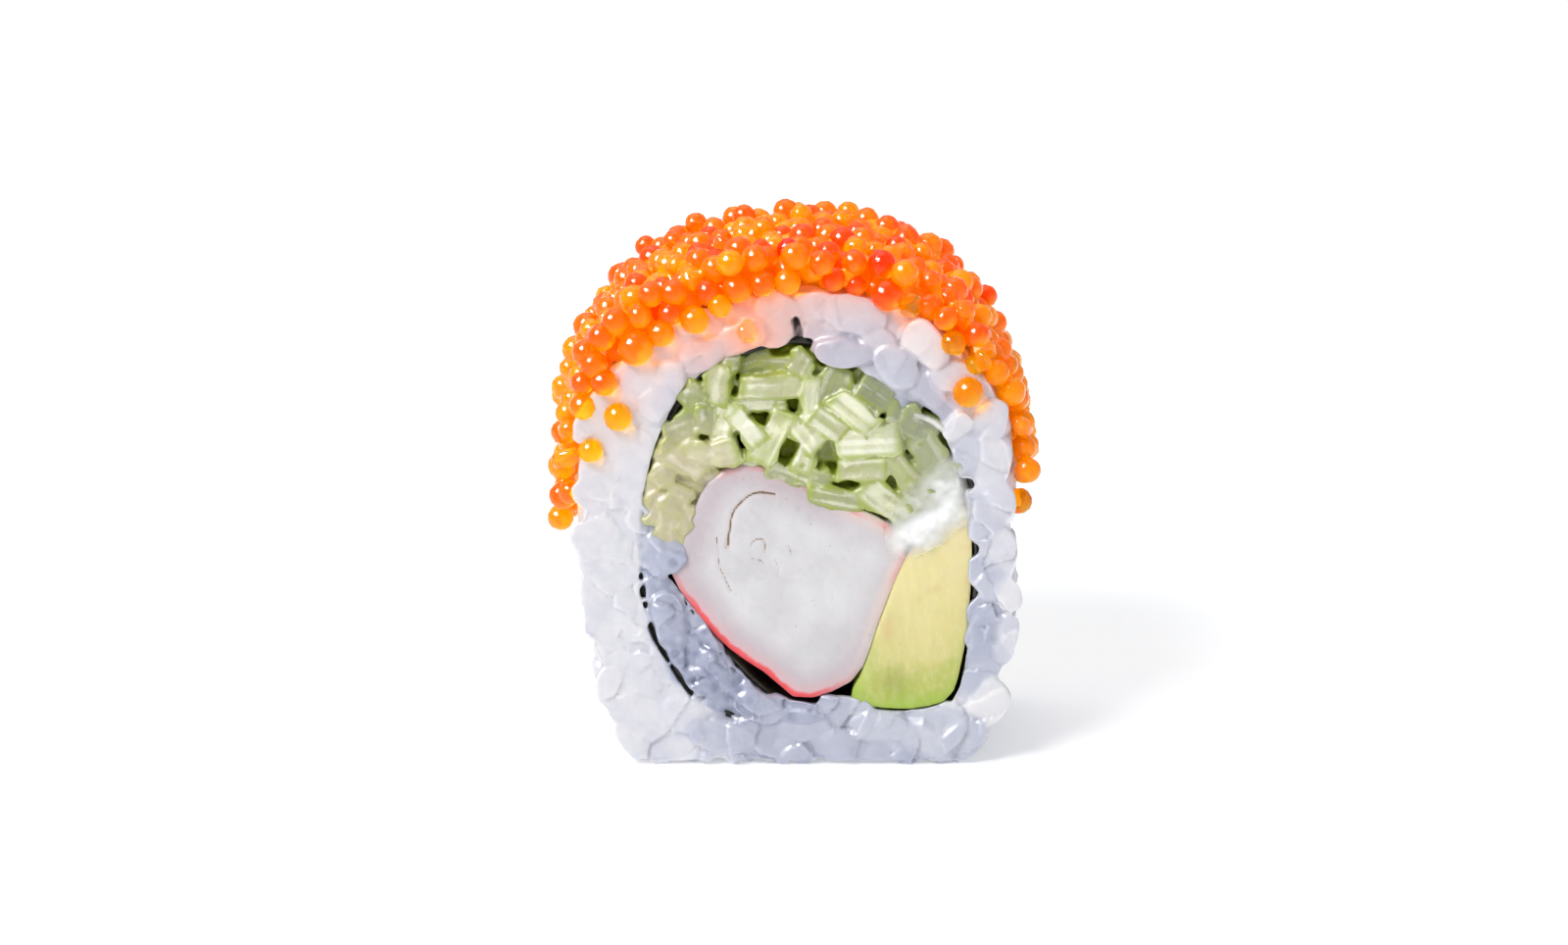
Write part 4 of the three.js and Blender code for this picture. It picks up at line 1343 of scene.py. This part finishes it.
def castRoe(ring, crown):  # first places of the eggs: their centres, radii and redness
    dice = random.Random(31)
    centres = [np.array(e[:3]) * mm for e in shownEggs]
    radii = [e[3] * mm for e in shownEggs]
    red = [e[4] for e in shownEggs]
    for _ in range(roe["tries"]):
        angle, y = dice.uniform(-0.1, 1.1) * math.pi, dice.uniform(-1, 1) * (halfDepth + 0.1 * mm)
        radius = dice.uniform(*roe["radius"])
        here = np.array([angle])
        ground, out = onRing(ring, here, np.array([y]))
        depth = roeRoom(ring, crown, here)[0]
        spot = ground[0] + out[0] * dice.uniform(radius, max(radius, depth - radius))
        end = roe["sideEnd"][0 if spot[0] < 0 else 1] + 1.5 * mm * math.sin(y * 500)
        share = (spot[2] - end) / roe["thinOut"]
        if share < 0 or dice.random() > 0.012 + 0.98 * share ** 3:
            continue
        if abs(y) > halfDepth - 0.9 * mm and spot[2] < 38 * mm:
            continue
        if np.min(np.linalg.norm(np.array(centres) - spot, axis=1)) < roe["spacing"]:
            continue
        centres.append(spot)
        radii.append(radius)
        red.append(dice.random() ** 1.6 * (0.15 + 0.7 * float(step(spot[2], 32 * mm, 39 * mm))))
    return np.array(centres), np.array(radii), red


def lowerShown(ring, centres, radii, red):  # so that no shown egg hangs in the air over the crown
    for i in range(len(shownEggs)):
        out = onRing(ring, angleOf(centres[i:i + 1]), centres[i:i + 1, 1])[1]
        for _ in range(20):
            apart = np.linalg.norm(centres - centres[i], axis=1) - (radii + radii[i]) * 0.97
            apart[i] = 1
            if apart.min() < -0.8 * mm * (red[i] < 0) or centres[i, 2] < 40 * mm and red[i] >= 0:
                break
            centres[i] -= out[0] * 0.1 * mm


def layRoe(ring, crown):  # eggs packed between the rice and the crown, as (centre, radius, redness)
    centres, radii, red = castRoe(ring, crown)
    owner = np.arange(len(radii))
    loose = owner >= len(shownEggs)
    for _ in range(roe["rounds"]):
        force = pushes(centres, radii, owner, 0.95)
        angles = angleOf(centres)
        ground, out = onRing(ring, angles, centres[:, 1])
        height = ((centres - ground) * out).sum(axis=1)
        room = np.maximum(roeRoom(ring, crown, angles), radii * 2)
        lift = np.maximum(radii * 0.9 - height, 0) - np.maximum(height + radii * 0.9 - room, 0)
        force += out * (lift - 0.02 * mm)[:, None]
        centres[loose] += np.clip(force, -roe["mostMove"], roe["mostMove"])[loose]
        centres[:, 1] = np.clip(centres[:, 1], -halfDepth - 0.6 * mm, halfDepth + 0.3 * mm)
    lowerShown(ring, centres, radii, red)
    return [(Vector(c), r, tone) for c, r, tone in zip(centres, radii, red)]


def makeRoe(eggs):
    dice = random.Random(5)
    places, clear = [], []
    for i, (centre, radius, red) in enumerate(eggs):
        along = Vector([dice.gauss(0, 1) for _ in range(3)]).normalized()
        burst = red < 0 or i >= len(shownEggs) and dice.random() < roe["burst"]  # an empty skin
        squeeze = roe["squeeze"] if burst else (1, dice.uniform(0.95, 1.0), dice.uniform(0.92, 1.0))
        places.append(placed(centre, along, along.orthogonal(), [radius * s for s in squeeze]))
        clear.append(1 if burst else dice.uniform(0, 0.8))
    mesh = scattered("roeEggs", eggShape(), places)
    each = len(mesh.vertices) // len(eggs)
    points = readPoints(mesh)
    clear = np.repeat(clear, each)
    dents = 0.3 * mm * softNoise(points, 0.8 * mm, 3) * (clear > 0.95)
    points += readNormals(mesh) * dents[:, None]
    writePoints(mesh, points)
    # painted light: each egg is painted yellower on the side where the lamp's light gathers
    way = np.array(roe["glowWay"]) / np.linalg.norm(roe["glowWay"])
    middles = np.repeat([centre for centre, _, _ in eggs], each, axis=0)
    facing = ((points - middles) @ way) / np.repeat([radius for _, radius, _ in eggs], each)
    store(mesh, glow=step(facing, 0.25, 0.95), clear=clear,
          red=np.repeat([max(0, red) for _, _, red in eggs], each))
    piece = objectOf("roeEggs", mesh)
    print(f"roe: {len(eggs)} eggs")
    finishPiece(piece, paintRoe(), "roe", "roe")

    places = [placed(centre, yAxis, Vector((1, 0, 0)), [radius * roe["gelShare"]] * 3)
              for centre, radius, _ in eggs[len(shownEggs):]]
    gel = objectOf("roeGel", scattered("roeGel", eggShape(), places))
    remesh(gel, roe["gelVoxel"], smooth=8)
    return finishPiece(gel, paintGel(), "roe")


def paintRoe():
    paint = Paint("roe")
    red = paint.held("red")
    clear = paint.held("clear")
    glow = paint.held("glow")
    color = paint.ramp(red, (0.0, (1.0, 0.50, 0.0)), (0.3, (1.0, 0.30, 0.0)), (0.7, (1.0, 0.17, 0.0)),
                       (1.0, (0.95, 0.04, 0.0)))
    # painted light: the yellow glow on each egg's far side from the lamp
    color = paint.mix(glow * 0.85, color, (1.0, 0.60, 0.01))
    # both egg shaders carry a painted glow: orange emission, as if lit from inside
    juice = paint.surface(
        Base_Color=color, Roughness=0.06, Subsurface_Weight=1.0,
        Subsurface_Radius=(1.0, 0.35, 0.08), Subsurface_Scale=1.8 * mm,
        IOR=1.36, Emission_Color=color, Emission_Strength=0.12,
    )
    pale = paint.mix(paint.span(clear, 0.9, 0.95), color, (1.0, 0.66, 0.42))
    glass = paint.surface(Base_Color=pale, Roughness=0.02, Transmission_Weight=1.0, IOR=1.34,
                          Emission_Color=color, Emission_Strength=0.1)
    share = paint.span(clear, 0.0, 0.9, 0.55, 0.92)
    return paint.done(paint.node("ShaderNodeMixShader", values=[share, juice, glass]))


def paintGel():
    paint = Paint("roeGel")
    broad = paint.noise(2.5 * mm, 2)
    color = paint.mix(broad, (1.0, 0.20, 0.0), (1.0, 0.38, 0.0))
    # painted glow: orange emission, as if lit from inside
    shader = paint.surface(
        Base_Color=color, Roughness=0.1, Subsurface_Weight=1.0, Subsurface_Radius=(1.0, 0.35, 0.08),
        Subsurface_Scale=1.6 * mm, IOR=1.36, Emission_Color=color, Emission_Strength=0.12,
    )
    return paint.done(shader)


makeStudio()
riceRing = ringOf("rice")
sheetRing = ringOf("nori")
rice, riceGrains, grainPlaces = makeRice(riceRing, sheetRing)
roeEggs = layRoe(riceRing, ringOf("roe"))
tintRice(rice.data, riceGrains, grainPlaces, roeEggs, sheetRing)
finishPiece(rice, paintRice(), "rice", "rice")
makeRoe(roeEggs)
makeNori()
makeCrabStick()
makeAvocado()
makeMayonnaise()
makeCucumber()
